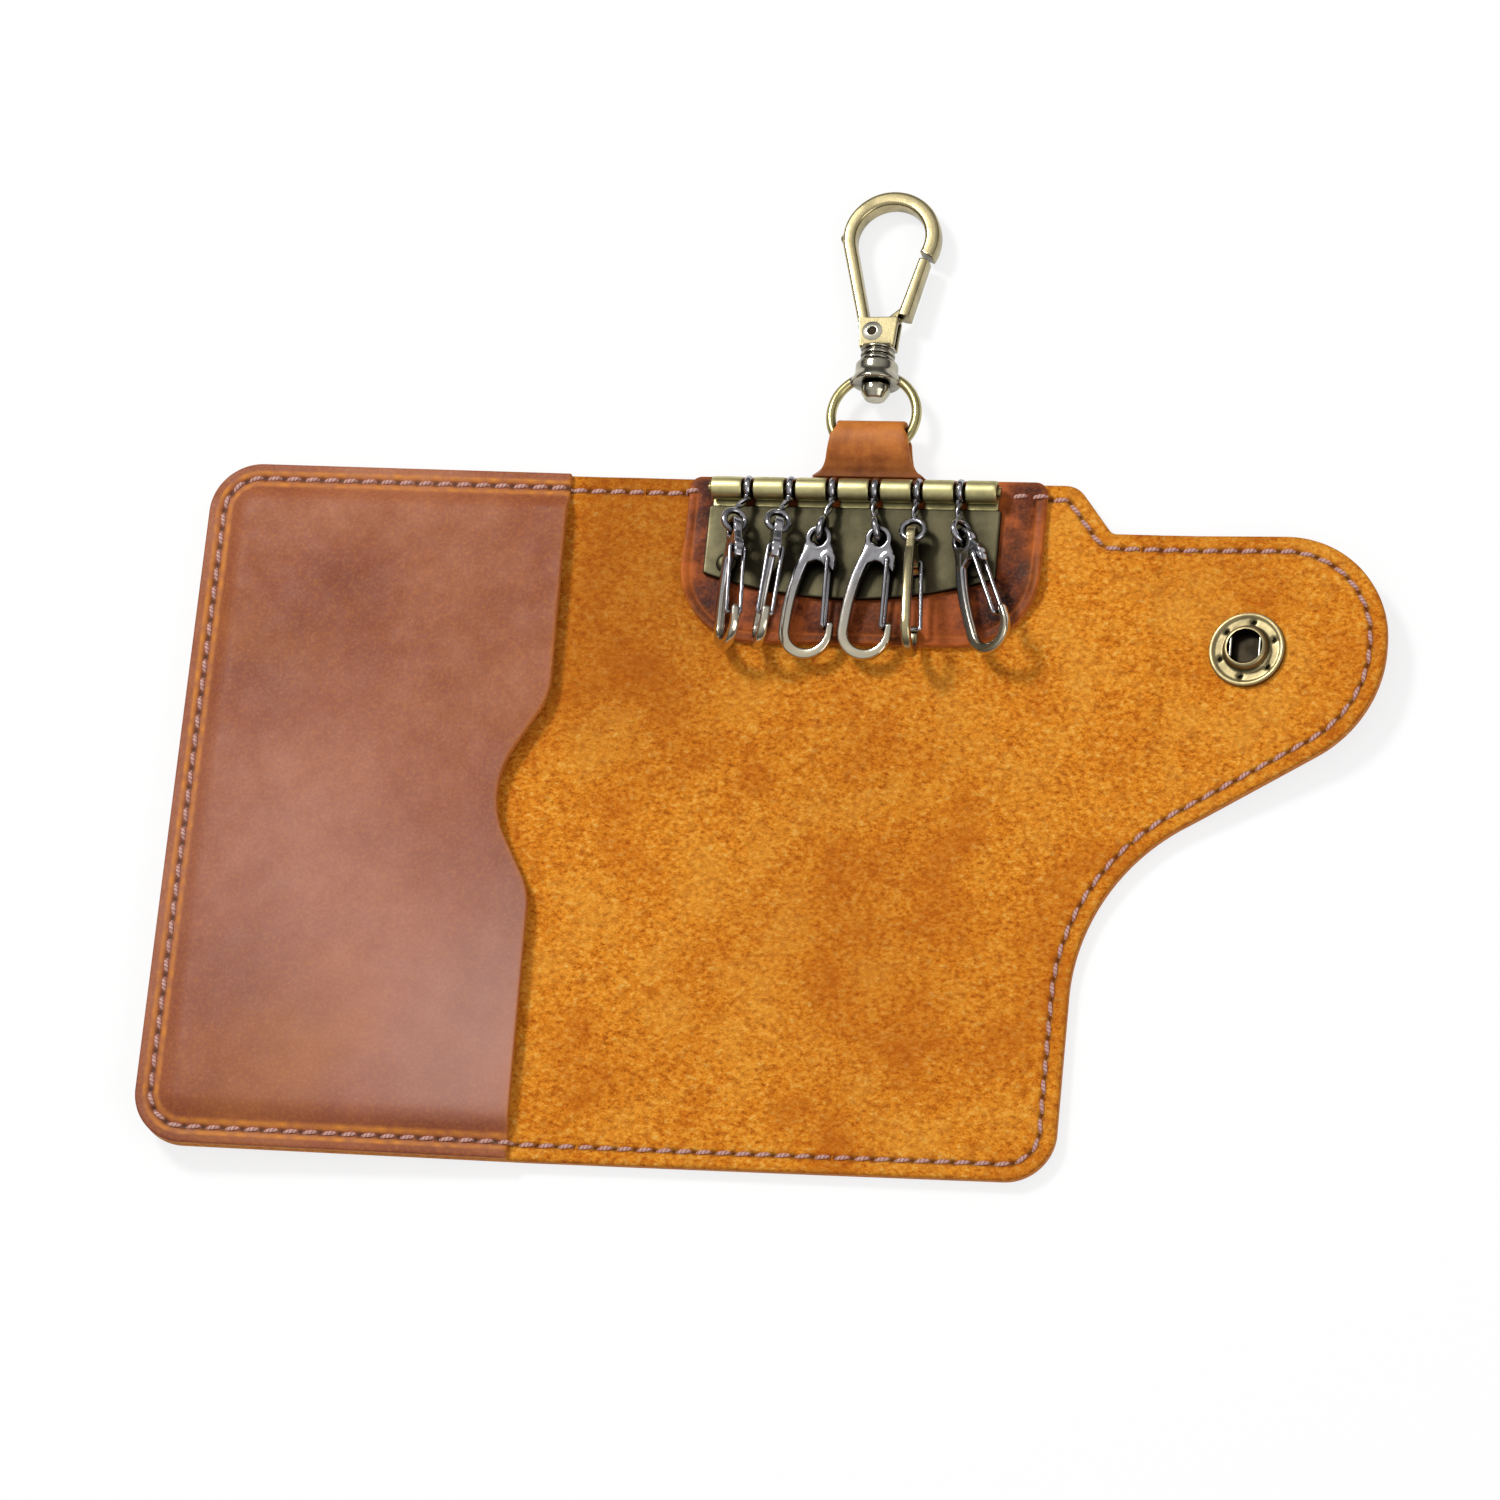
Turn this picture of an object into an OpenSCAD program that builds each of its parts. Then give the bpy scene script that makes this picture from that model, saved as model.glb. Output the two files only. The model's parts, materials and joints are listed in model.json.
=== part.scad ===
// Key case, opened out: six key hooks, a card pocket, a snap flap and a swivel clasp.
// Millimetres. The suede inner side faces up, X runs along the hook row, Y towards the clasp.
// The origin is on the resting face, below the middle of the hook row, half way up the case.

/* [Leather body] */
// Thickness of the body leather
leather_t = 1.8; // [1.6:0.1:2.2]
// Height of the opened case
case_h = 116.4; // [112:0.2:124]
// From the middle of the hook row to the left fold
left_reach = 28.7; // [28.4:0.1:31]
// From the middle of the hook row to the straight right edge
right_reach = 41.4; // [41.2:0.1:44]
// Width of the spine between the two left folds
spine_w = 14; // [13.6:0.1:17]
// Width of the card panel beyond the spine
card_panel_w = 66; // [60:0.5:66]
// Radius of the left corners
left_corner_r = 8.5; // [6:0.5:12]
// Radius of the bottom right corner
right_corner_r = 8; // [5:0.5:12]

/* [Flap outline] */
// From the straight right edge to the tip of the flap
flap_reach = 47; // [44:0.5:52]
// Depth below mid height of the bend under the flap
bend_drop = 8.8; // [4:0.2:12]
// Radius of that bend
bend_r = 33; // [26:1:36]
// Height of the lower corner of the tip above mid height
tip_low = 18.5; // [16:0.5:20]
// Radius of the lower corner of the tip
tip_low_r = 20.5; // [16:0.5:22]
// Height of the upper corner of the tip above mid height
tip_high = 49; // [48:0.1:49.5]
// Radius of the upper corner of the tip
tip_high_r = 18; // [14:0.5:20]
// Drop from the top edge to the step beside the flap
step_drop = 8.3; // [8:0.1:9]
// Run of the slanted shoulder at the step
step_run = 6.3; // [5.5:0.1:7]
// Radius in the step
step_r = 1.6; // [1.2:0.1:2.4]
// Radius of the shoulder above the step
shoulder_r = 4; // [3.2:0.1:5]
// Lean of the flap's folds from the edge of the case, degrees
fold_lean = 2.75; // [2:0.05:3.5]

/* [Card pocket] */
// Thickness of the pocket leather
pocket_t = 1.2; // [1:0.1:1.4]
// Room for cards under the pocket
pocket_room = 1.3; // [1:0.1:1.5]
// Width of the flat sewn rim
rim_w = 3.4; // [3:0.1:4.5]
// Width of the slope from the rim to the raised face
slope_w = 3.1; // [2.5:0.1:4]
// From the inner left fold to the pocket's mouth at the top
mouth_top = 5.5; // [4.5:0.1:8]
// From the inner left fold to the pocket's mouth at the bottom
mouth_bottom = 3.9; // [3.5:0.1:8]
// Height of the thumb notch along the mouth
notch_h = 33; // [28:0.5:38]
// Depth of the notch's corner points
notch_depth = 9.2; // [7:0.1:11]
// Height of the notch's middle above mid height
notch_rise = 2.5; // [0:0.5:5]
// Radius where the notch meets the mouth
notch_lip_r = 12; // [9:0.5:13]
// Radius at the bottom of the notch
notch_r = 16; // [12:0.5:18]

/* [Hook plate and patch] */
// Width of the leather patch under the hooks
patch_w = 59.4; // [58:0.2:60]
// Height of the patch
patch_h = 28.4; // [26:0.2:32]
// Thickness of the patch and the strap
patch_t = 1.3; // [1.2:0.1:1.5]
// Shift of the patch and the strap to the right of the hook row
patch_shift = 1.6; // [1:0.1:2]
// Radius of the patch's lower corners
patch_corner_r = 13; // [9:0.5:14]
// Width of the metal plate
plate_w = 48.4; // [48:0.1:50]
// Thickness of the metal plate
plate_t = 1; // [0.9:0.05:1.05]
// From the pin down to the straight sides' lower end
plate_side = 14.3; // [13:0.1:16]
// Bulge of the plate's curved lower edge
plate_sag = 4; // [3:0.1:5]
// Outer diameter of the rolled barrels
barrel_d = 3.9; // [3.8:0.05:4]
// Width of one barrel
barrel_w = 5.3; // [5:0.1:5.4]
// Distance between hooks along the pin
hook_pitch = 7.03; // [7:0.01:7.2]
// Diameter of the hinge pin
pin_d = 1.7; // [1.5:0.05:1.8]
// Distance of the pin from the top edge of the leather
pin_inset = 2.8; // [2.6:0.1:3.2]

/* [Key hooks] */
// Wire diameter of the links
link_wire = 1.2; // [1:0.05:1.25]
// From the pin to the middle of the link's lower ring
link_len = 7.6; // [7.4:0.1:8.2]
// Radius of the lower ring's centre line
link_ring_r = 1.8; // [1.75:0.05:2]
// Outer width of a hook
hook_w = 9.2; // [8.8:0.1:9.2]
// From the hook's hole to the middle of its bend
hook_len = 15.6; // [14.5:0.1:16]
// Thickness of a hook
hook_t = 1.6; // [1.4:0.05:1.65]
// Width of the hook's arm
arm_w = 1.8; // [1.6:0.05:1.9]
// Diameter of the hole in the hook's head
head_hole = 2.4; // [2.3:0.05:2.5]
// Wire diameter of the sprung gates
gate_wire = 0.7; // [0.6:0.05:0.8]

/* [Strap, ring and clasp] */
// Width of the strap
strap_w = 14.1; // [13:0.1:15]
// From the top edge to the folded end of the strap
strap_len = 9.6; // [9.4:0.1:10.2]
// Thickness of one leg of the strap's loop
loop_t = 1.2; // [1.1:0.05:1.25]
// Height of the room inside the loop
loop_room = 2.3; // [2.2:0.05:2.5]
// Wire diameter of the swivel ring
ring_wire = 1.7; // [1.5:0.05:1.8]
// Radius of the ring's centre line
ring_r = 7.1; // [6.9:0.05:7.3]
// Thickness of the clasp
clasp_t = 3.4; // [3:0.1:3.5]
// From the ring's middle to the far end of the clasp
clasp_len = 39.7; // [38:0.1:42]
// Outer width of the clasp's bow
bow_w = 16.5; // [15.5:0.1:17.5]

/* [Snap] */
// Diameter of the snap's cap
cap_d = 12.5; // [12:0.1:13]
// Height of the cap's dome
cap_h = 1.6; // [1.4:0.1:2]
// Diameter of the socket
socket_d = 12.5; // [12:0.1:13]
// Height of the socket
socket_h = 2.3; // [2.1:0.1:2.4]
// Diameter of the hole in the socket
socket_hole = 5.4; // [5.3:0.05:5.6]
// Height of the stud
stud_h = 2.4; // [2.2:0.1:2.5]
// Diameter of the stud's foot
stud_d = 9.2; // [8.6:0.1:9.6]
// Space between the flap and the card panel when the snap is closed
snap_gap = 3; // [2.9:0.1:3.2]
// From the straight right edge to the snap
snap_out = 24.6; // [23:0.1:26]
// Height of the snap above mid height
snap_rise = 30; // [28:0.5:32]

/* [Seams] */
// Distance of the seam from the edge
seam_inset = 2.6; // [2.3:0.1:3]
// Length from one stitch to the next
stitch_pitch = 3.2; // [3:0.1:4]
// Length of a stitch
stitch_l = 2.5; // [2:0.1:2.6]
// Width of the thread
thread_w = 0.7; // [0.5:0.05:0.8]
// Height of a stitch above the leather
thread_h = 0.3; // [0.2:0.05:0.35]

/* [Hidden] */
HOOKS = [1, 2, 3, 4, 5, 6];
$fn = 48;

// Running clearances and cutting allowances
over = 1;
fit = 0.05;
press = 0.02;
skin = 0.01;
arc_steps = 8;

// Places of the folds
half_h = case_h / 2;
fold_a = -left_reach;
fold_b = fold_a - spine_w;
left_edge = fold_b - card_panel_w;
flap_spine_w = spine_w + leather_t + snap_gap;
span = 4 * case_h;

// Corner points of the flat leather, anticlockwise: x, y and radius
tip_x = right_reach + flap_reach;
step_y = half_h - step_drop;
step_x_share = 0.13;
step_x = right_reach + step_x_share * step_run;
case_corners = [
    [left_edge, -half_h, left_corner_r],
    [right_reach, -half_h, right_corner_r],
    [right_reach, -bend_drop, bend_r],
    [tip_x, tip_low, tip_low_r],
    [tip_x, tip_high, tip_high_r],
    [step_x, step_y, step_r],
    [step_x - step_run, half_h, shoulder_r],
    [left_edge, half_h, left_corner_r]
];

// Outlines with rounded corners. A positive inset draws the same outline further in.
function flat2(p) = [p[0], p[1]];
function unit(v) = v / norm(v);
function turn(u, v) = u[0] * v[1] - u[1] * v[0];
function half_angle(p, q, s) = acos(unit(flat2(p - q)) * unit(flat2(s - q))) / 2;
function tangent_run(p, q, s) = q[2] / tan(half_angle(p, q, s));
function round_corner(p, q, s, inset) = let(
    u = unit(flat2(p - q)),
    v = unit(flat2(s - q)),
    half = half_angle(p, q, s),
    side = turn(v, u) > 0 ? 1 : -1,
    centre = flat2(q) + unit(u + v) * q[2] / sin(half),
    reach = q[2] / tan(half),
    from = flat2(q) + u * reach - centre,
    start = atan2(from[1], from[0]),
    sweep = side * (180 - 2 * half),
    steps = max(2, ceil(abs(sweep) / 90 * arc_steps)),
    r = q[2] - side * inset
) q[2] == 0
    ? [flat2(q) + side * inset * unit(u + v) / sin(half)]
    : [for (i = [0:steps]) centre + r * [cos(start + sweep * i / steps), sin(start + sweep * i / steps)]];
function outline(corners, inset = 0) = let(n = len(corners)) [
    for (i = [0:n - 1])
        for (p = round_corner(corners[(i + n - 1) % n], corners[i], corners[(i + 1) % n], inset)) p
];

// The flap's outer fold starts where the bend under the flap starts
fold_foot = [right_reach, -bend_drop - tangent_run(case_corners[1], case_corners[2], case_corners[3])];
fold_n = [cos(fold_lean), sin(fold_lean)];
fold_u = [-sin(fold_lean), cos(fold_lean)];

// The stud lies where the socket comes to when both sides are folded shut
socket_xy = [right_reach + snap_out, snap_rise];
socket_out = (socket_xy - fold_foot) * fold_n;
socket_up = (socket_xy - fold_foot) * fold_u;
shut_xy = fold_foot + socket_up * fold_u - (socket_out - flap_spine_w) * fold_n;
stud_xy = [fold_b - (shut_xy[0] - fold_a), shut_xy[1]];

// Both sides rest a little lifted, on the stud and on the cap
floor_gap = 0.03;
left_tilt = asin((stud_h + floor_gap) / (spine_w + 2 * (fold_b - stud_xy[0])));
flap_tilt = asin((cap_h + floor_gap) / (2 * socket_out - flap_spine_w));

module on_left_spine() {
    translate([fold_a, 0, leather_t]) rotate([0, left_tilt, 0])
        translate([-fold_a, 0, -leather_t]) children();
}
module on_card_panel() {
    on_left_spine()
        translate([fold_b, 0, leather_t]) rotate([0, left_tilt, 0])
            translate([-fold_b, 0, -leather_t]) children();
}
module about_flap_fold(out) {
    foot = fold_foot + out * fold_n;
    translate([foot[0], foot[1], leather_t])
        rotate([0, 0, fold_lean]) rotate([0, -flap_tilt, 0]) rotate([0, 0, -fold_lean])
            translate([-foot[0], -foot[1], -leather_t]) children();
}
module on_flap_spine() {
    about_flap_fold(0) children();
}
module on_flap() {
    on_flap_spine() about_flap_fold(flap_spine_w) children();
}

// Leather body: one cut sheet, parted along its folds
module sheet() {
    linear_extrude(leather_t) polygon(outline(case_corners));
}
module left_zone(from, width) {
    translate([from - width, -span / 2, -over]) cube([width, span, leather_t + 2 * over]);
}
module flap_zone(from, width) {
    translate([fold_foot[0], fold_foot[1], -over]) rotate([0, 0, fold_lean])
        translate([from, -span / 2, 0]) cube([width, span, leather_t + 2 * over]);
}
module centre_panel() {
    color("peru") difference() {
        sheet();
        left_zone(fold_a, span);
        flap_zone(0, span);
    }
}
module left_spine() {
    color("peru") on_left_spine() intersection() {
        sheet();
        left_zone(fold_a, spine_w);
    }
}
post_hole = 3.4;
module card_panel() {
    color("peru") on_card_panel() difference() {
        intersection() {
            sheet();
            left_zone(fold_b, span);
        }
        translate([stud_xy[0], stud_xy[1], -over]) cylinder(d = post_hole, h = leather_t + 2 * over);
    }
}
module flap_spine() {
    color("peru") on_flap_spine() intersection() {
        sheet();
        flap_zone(0, flap_spine_w);
    }
}
cap_post_d = 4;
module flap() {
    color("peru") on_flap() difference() {
        intersection() {
            sheet();
            flap_zone(flap_spine_w, span);
        }
        translate([socket_xy[0], socket_xy[1], -over])
            cylinder(d = cap_post_d + 2 * fit, h = leather_t + 2 * over);
    }
}

// Card pocket: a sheet sewn round three sides, raised in the middle, with a thumb notch
mouth_mid = fold_b - (mouth_top + mouth_bottom) / 2;
pocket_corners = [
    [left_edge, -half_h, left_corner_r],
    [fold_b - mouth_bottom, -half_h, 0],
    [mouth_mid, notch_rise - notch_h / 2, notch_lip_r],
    [mouth_mid - notch_depth, notch_rise, notch_r],
    [mouth_mid, notch_rise + notch_h / 2, notch_lip_r],
    [fold_b - mouth_top, half_h, 0],
    [left_edge, half_h, left_corner_r]
];
pocket_rise = pocket_room + pocket_t;
eyelet_d = 6.4;
eyelet_t = 0.5;
module pocket_layer(inset, z) {
    r = max(left_corner_r - inset, 2 * over);
    translate([0, 0, z]) linear_extrude(skin) polygon(outline([
        [left_edge + inset, -half_h + inset, r],
        [fold_b, -half_h + inset, 0],
        [fold_b, half_h - inset, 0],
        [left_edge + inset, half_h - inset, r]
    ]));
}
module card_pocket() {
    color("sienna") on_card_panel() difference() {
        intersection() {
            union() {
                translate([0, 0, leather_t]) linear_extrude(pocket_t) polygon(outline(pocket_corners));
                hull() {
                    pocket_layer(rim_w, leather_t);
                    pocket_layer(rim_w + slope_w, leather_t + pocket_rise - skin);
                }
            }
            translate([0, 0, leather_t]) linear_extrude(pocket_rise) polygon(outline(pocket_corners));
        }
        hull() {
            pocket_layer(rim_w + pocket_t / 2, leather_t - over);
            pocket_layer(rim_w + pocket_t / 2, leather_t);
            pocket_layer(rim_w + slope_w + pocket_t / 2, leather_t + pocket_room);
        }
        translate([stud_xy[0], stud_xy[1], leather_t - over])
            cylinder(d = eyelet_d + 4 * fit, h = over + eyelet_t + 2 * fit);
    }
}

// Patch under the hook plate, sewn into the top seam
patch_top_r = 2;
patch_z = leather_t;
patch_left = patch_shift - patch_w / 2;
patch_right = patch_shift + patch_w / 2;
rivet_x = 20.4;
rivet_drop = 12.6;
rivet_d = 1.8;
rivet_foot_d = 3.2;
rivet_foot_t = 0.4;
plate_z = patch_z + patch_t;
pin_y = half_h - pin_inset;
rivet_places = [for (side = [-1, 1]) [side * rivet_x, pin_y - rivet_drop, 0]];
module hook_patch() {
    color("saddlebrown") difference() {
        translate([0, 0, patch_z]) linear_extrude(patch_t) polygon(outline([
            [patch_left, half_h - patch_h, patch_corner_r],
            [patch_right, half_h - patch_h, patch_corner_r],
            [patch_right, half_h, patch_top_r],
            [patch_left, half_h, patch_top_r]
        ]));
        for (place = rivet_places) translate(place) {
            translate([0, 0, patch_z - over]) cylinder(d = rivet_d + 2 * fit, h = patch_t + 2 * over);
            translate([0, 0, patch_z - over])
                cylinder(d = rivet_foot_d + 2 * fit, h = over + rivet_foot_t + fit);
        }
    }
}

// Hook plate with seven rolled barrels on one pin
barrels = len(HOOKS) + 1;
barrel_lift = 0.2;
barrel_bore = pin_d + 2 * fit;
pin_z = plate_z + barrel_lift + barrel_d / 2;
slot_drop = 2.5;
rivet_head_d = 3.4;
module along_x(length) {
    translate([-length / 2, 0, 0]) rotate([0, 90, 0]) children();
}
plate_sag_r = (pow(plate_w / 2, 2) + pow(plate_sag, 2)) / (2 * plate_sag);
plate_foot_y = pin_y - plate_side;
sag_half = asin(plate_w / 2 / plate_sag_r);
plate_arc = [for (i = [0:2 * arc_steps]) let(a = -90 - sag_half + sag_half * i / arc_steps)
    [plate_sag_r * cos(a), plate_foot_y - plate_sag + plate_sag_r * (1 + sin(a))]];
module key_plate() {
    color("darkkhaki") difference() {
        union() {
            translate([0, 0, plate_z]) linear_extrude(plate_t) polygon(concat(
                plate_arc,
                [[plate_w / 2, pin_y - slot_drop], [-plate_w / 2, pin_y - slot_drop]]
            ));
            for (i = [0:barrels - 1]) translate([(i - (barrels - 1) / 2) * hook_pitch, pin_y, 0]) {
                translate([-barrel_w / 2, -slot_drop - over, plate_z])
                    cube([barrel_w, slot_drop + over, plate_t]);
                translate([0, 0, pin_z]) along_x(barrel_w) cylinder(d = barrel_d, h = barrel_w);
            }
        }
        translate([0, pin_y, pin_z]) along_x(2 * plate_w) cylinder(d = barrel_bore, h = 2 * plate_w);
        for (place = rivet_places) translate(place) {
            translate([0, 0, plate_z - over]) cylinder(d = rivet_d + 2 * fit, h = plate_t + 2 * over);
            translate([0, 0, plate_z + plate_t / 2])
                cylinder(d1 = rivet_d + 2 * fit, d2 = rivet_head_d, h = plate_t / 2);
        }
    }
}
pin_len = (barrels - 1) * hook_pitch + barrel_w + barrel_w / 6;
module hinge_pin() {
    color("darkkhaki") translate([0, pin_y, pin_z]) along_x(pin_len) cylinder(d = pin_d, h = pin_len);
}
module plate_rivets() {
    color("gray") for (place = rivet_places) translate(place) {
        translate([0, 0, patch_z]) cylinder(d = rivet_d, h = patch_t + plate_t);
        translate([0, 0, patch_z]) cylinder(d = rivet_foot_d, h = rivet_foot_t);
        translate([0, 0, plate_z + plate_t / 2 + fit])
            cylinder(d1 = rivet_d, d2 = rivet_head_d - 2 * fit, h = plate_t / 2 - fit);
    }
}

// Snap: cap and socket on the flap, stud and eyelet on the card panel
cap_rim = 0.5;
socket_floor = 0.4;
cap_dome_r = (pow(cap_d / 2, 2) + pow(cap_h - cap_rim, 2)) / (2 * (cap_h - cap_rim));
cap_dome_half = asin(cap_d / 2 / cap_dome_r);
cap_post_h = leather_t + socket_floor - fit;
module snap_cap() {
    color("darkkhaki") on_flap() translate([socket_xy[0], socket_xy[1], 0]) rotate_extrude() polygon(concat(
        [for (i = [0:arc_steps]) let(a = cap_dome_half * i / arc_steps)
            [cap_dome_r * sin(a), cap_dome_r * (1 - cos(a)) - cap_h]],
        [[cap_d / 2, 0], [cap_post_d / 2, 0], [cap_post_d / 2, cap_post_h], [0, cap_post_h]]
    ));
}
collar_d = 7;
flange_t = 0.6;
dot_d = 0.8;
dot_ring_r = 4.6;
dots = 6;
spring_wire = 0.5;
spring_level = socket_h - spring_wire;
module snap_socket() {
    color("darkkhaki") on_flap() translate([socket_xy[0], socket_xy[1], leather_t]) difference() {
        union() {
            cylinder(d = socket_d, h = flange_t);
            translate([0, 0, flange_t]) cylinder(d1 = socket_d, d2 = collar_d, h = socket_h - 2 * flange_t);
            cylinder(d = collar_d, h = socket_h);
        }
        translate([0, 0, socket_floor]) cylinder(d = socket_hole, h = socket_h);
        translate([0, 0, -over]) cylinder(d = cap_post_d + 2 * fit, h = 2 * over);
        for (i = [0:dots - 1]) rotate([0, 0, i * 360 / dots])
            translate([dot_ring_r, 0, flange_t]) cylinder(d = dot_d, h = socket_h);
        snap_spring_room();
    }
}
spring_chord = 2.4;
spring_len = 4.6;
module snap_spring_room() {
    for (side = [-1, 1]) translate([side * spring_chord, 0, spring_level])
        rotate([90, 0, 0]) translate([0, 0, -spring_len / 2 - fit])
            cylinder(d = spring_wire + 2 * fit, h = spring_len + 2 * fit);
}
module snap_spring() {
    color("dimgray") on_flap() translate([socket_xy[0], socket_xy[1], leather_t])
        for (side = [-1, 1]) translate([side * spring_chord, 0, spring_level])
            rotate([90, 0, 0]) translate([0, 0, -spring_len / 2]) cylinder(d = spring_wire, h = spring_len);
}
eyelet_post_d = 3;
stud_ball_d = 4.9;
stud_neck_d = 4;
stud_neck_h = 0.8;
ball_h = stud_h - flange_t - stud_neck_h;
stud_bore_r = eyelet_post_d / 2 + press;
stud_profile = [
    [stud_bore_r, 0],
    [stud_d / 2, 0],
    [stud_d / 2, -flange_t],
    [stud_neck_d / 2, -flange_t],
    [stud_neck_d / 2, -flange_t - stud_neck_h],
    [stud_ball_d / 2, -stud_h + ball_h * 2 / 3],
    [stud_ball_d / 2, -stud_h + ball_h / 3],
    [stud_neck_d / 2, -stud_h],
    [0, -stud_h],
    [0, flange_t - stud_h],
    [stud_bore_r, flange_t - stud_h]
];
module snap_stud() {
    color("darkkhaki") on_card_panel() translate([stud_xy[0], stud_xy[1], 0])
        rotate_extrude() polygon(stud_profile);
}
module stud_eyelet() {
    color("darkkhaki") on_card_panel() translate([stud_xy[0], stud_xy[1], 0]) {
        translate([0, 0, leather_t]) cylinder(d = eyelet_d, h = eyelet_t);
        translate([0, 0, flange_t + fit - stud_h])
            cylinder(d = eyelet_post_d, h = leather_t + stud_h - flange_t);
    }
}

// Key hooks. Each link hangs from the pin and each hook from its link's ring.
// Angles as the hooks lie at rest: link lean, link rise, hook lean, hook rise and hook roll
link_leans = [-29, -21, -11, 13.5, 0, 8];
link_rises = [26, 26, 16, 16, 14, 14];
hook_leans = [0.5, -5.2, -3.3, -4.2, 4, 20.4];
hook_rises = [-2.5, -4, -5, -5, 2, 3];
hook_rolls = [-58, -68, 0, 0, 90, -35];
knee_share = 0.34;
joint_share = 1.06;
neck_share = 0.86;
eye_gap = 0.05;
eye_r = pin_d / 2 + eye_gap + link_wire / 2;
head_wall = 1;
head_r = head_hole / 2 + head_wall;
function tilted(v, lean, rise) = let(
    y = v[1] * cos(rise) + v[2] * sin(rise),
    z = v[2] * cos(rise) - v[1] * sin(rise)
) [v[0] * cos(lean) - y * sin(lean), v[0] * sin(lean) + y * cos(lean), z];
function hook_side(i) = let(roll = hook_rolls[i - 1])
    tilted([cos(roll), 0, -sin(roll)], hook_leans[i - 1], hook_rises[i - 1]);
function hook_back(i) = tilted([0, 1, 0], hook_leans[i - 1], hook_rises[i - 1]);
function hook_normal(i) = cross(hook_side(i), hook_back(i));
function pin_point(i) = [(i - (len(HOOKS) + 1) / 2) * hook_pitch, pin_y, pin_z];
function knee_point(i) = pin_point(i) - knee_share * link_len * tilted([0, 1, 0], 0, link_rises[i - 1]);
function link_back(i) = tilted([0, 1, 0], link_leans[i - 1], link_rises[i - 1]);
function wire_end(i) = knee_point(i) - ((1 - knee_share) * link_len - link_ring_r) * link_back(i);

// A ring's plane holds the hook's normal, so that the hook turns freely on the ring's wire
function ring_back(i) = unit(link_back(i) - (link_back(i) * hook_normal(i)) * hook_normal(i));
function ring_side(i) = cross(ring_back(i), hook_normal(i));
function ring_point(i) = wire_end(i) - link_ring_r * ring_back(i);
function hole_point(i) = wire_end(i) - 2 * link_ring_r * ring_back(i);

module rod(from, to, d) {
    v = to - from;
    translate(from) rotate([0, acos(v[2] / norm(v)), atan2(v[1], v[0])]) cylinder(d = d, h = norm(v));
}
module torus(r, wire) {
    rotate_extrude() translate([r, 0]) circle(d = wire);
}
module in_frame(x, y, z, at) {
    multmatrix([
        [x[0], y[0], z[0], at[0]],
        [x[1], y[1], z[1], at[1]],
        [x[2], y[2], z[2], at[2]]
    ]) children();
}
module on_hook(i) {
    in_frame(hook_side(i), hook_back(i), hook_normal(i), hole_point(i)) children();
}
module hook_link(i) {
    eye_end = pin_point(i) - eye_r * tilted([0, 1, 0], 0, link_rises[i - 1]);
    color("slategray") {
        translate(pin_point(i)) rotate([0, 90, 0]) torus(eye_r, link_wire);
        rod(eye_end, knee_point(i), neck_share * link_wire);
        translate(knee_point(i)) sphere(d = joint_share * link_wire);
        rod(knee_point(i), wire_end(i), neck_share * link_wire);
        in_frame(ring_side(i), ring_back(i), hook_normal(i), ring_point(i))
            rotate([0, 90, 0]) torus(link_ring_r, link_wire);
    }
}

// The hook's outline is a centre line with a width at each of its points
function bezier(p, n) = [for (i = [0:n]) let(k = i / n)
    pow(1 - k, 3) * p[0] + 3 * pow(1 - k, 2) * k * p[1] + 3 * (1 - k) * k * k * p[2] + pow(k, 3) * p[3]];
function heading_at(path, i) = unit(path[min(i + 1, len(path) - 1)] - path[max(i - 1, 0)]);
function beside(path, widths, side) = [for (i = [0:len(path) - 1]) let(d = heading_at(path, i))
    path[i] + side * widths[i] / 2 * [-d[1], d[0]]];
function reversed(list) = [for (i = [len(list) - 1:-1:0]) list[i]];
function band(path, widths) = concat(beside(path, widths, 1), reversed(beside(path, widths, -1)));

bend_mid_r = (hook_w - arm_w) / 2;
tip_w = 1.2;
tip_rise = 1.4;
arm_start_shares = [-0.45, -0.55];
arm_bow_shares = [[-0.78, -0.33], [-1, -0.62]];
hook_path = concat(
    bezier([
        head_r * arm_start_shares,
        [arm_bow_shares[0][0] * bend_mid_r, arm_bow_shares[0][1] * hook_len],
        [arm_bow_shares[1][0] * bend_mid_r, arm_bow_shares[1][1] * hook_len],
        [-bend_mid_r, -hook_len]
    ], arc_steps),
    [for (i = [1:2 * arc_steps]) let(a = 180 + 180 * i / (2 * arc_steps))
        [bend_mid_r * cos(a), -hook_len + bend_mid_r * sin(a)]],
    [[bend_mid_r, tip_rise - hook_len]]
);
hook_steps = len(hook_path) - 1;
taper_from = hook_steps - arc_steps;
hook_widths = [for (i = [0:hook_steps])
    arm_w + (tip_w - arm_w) * max(0, i - taper_from) / (hook_steps - taper_from)];

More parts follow.
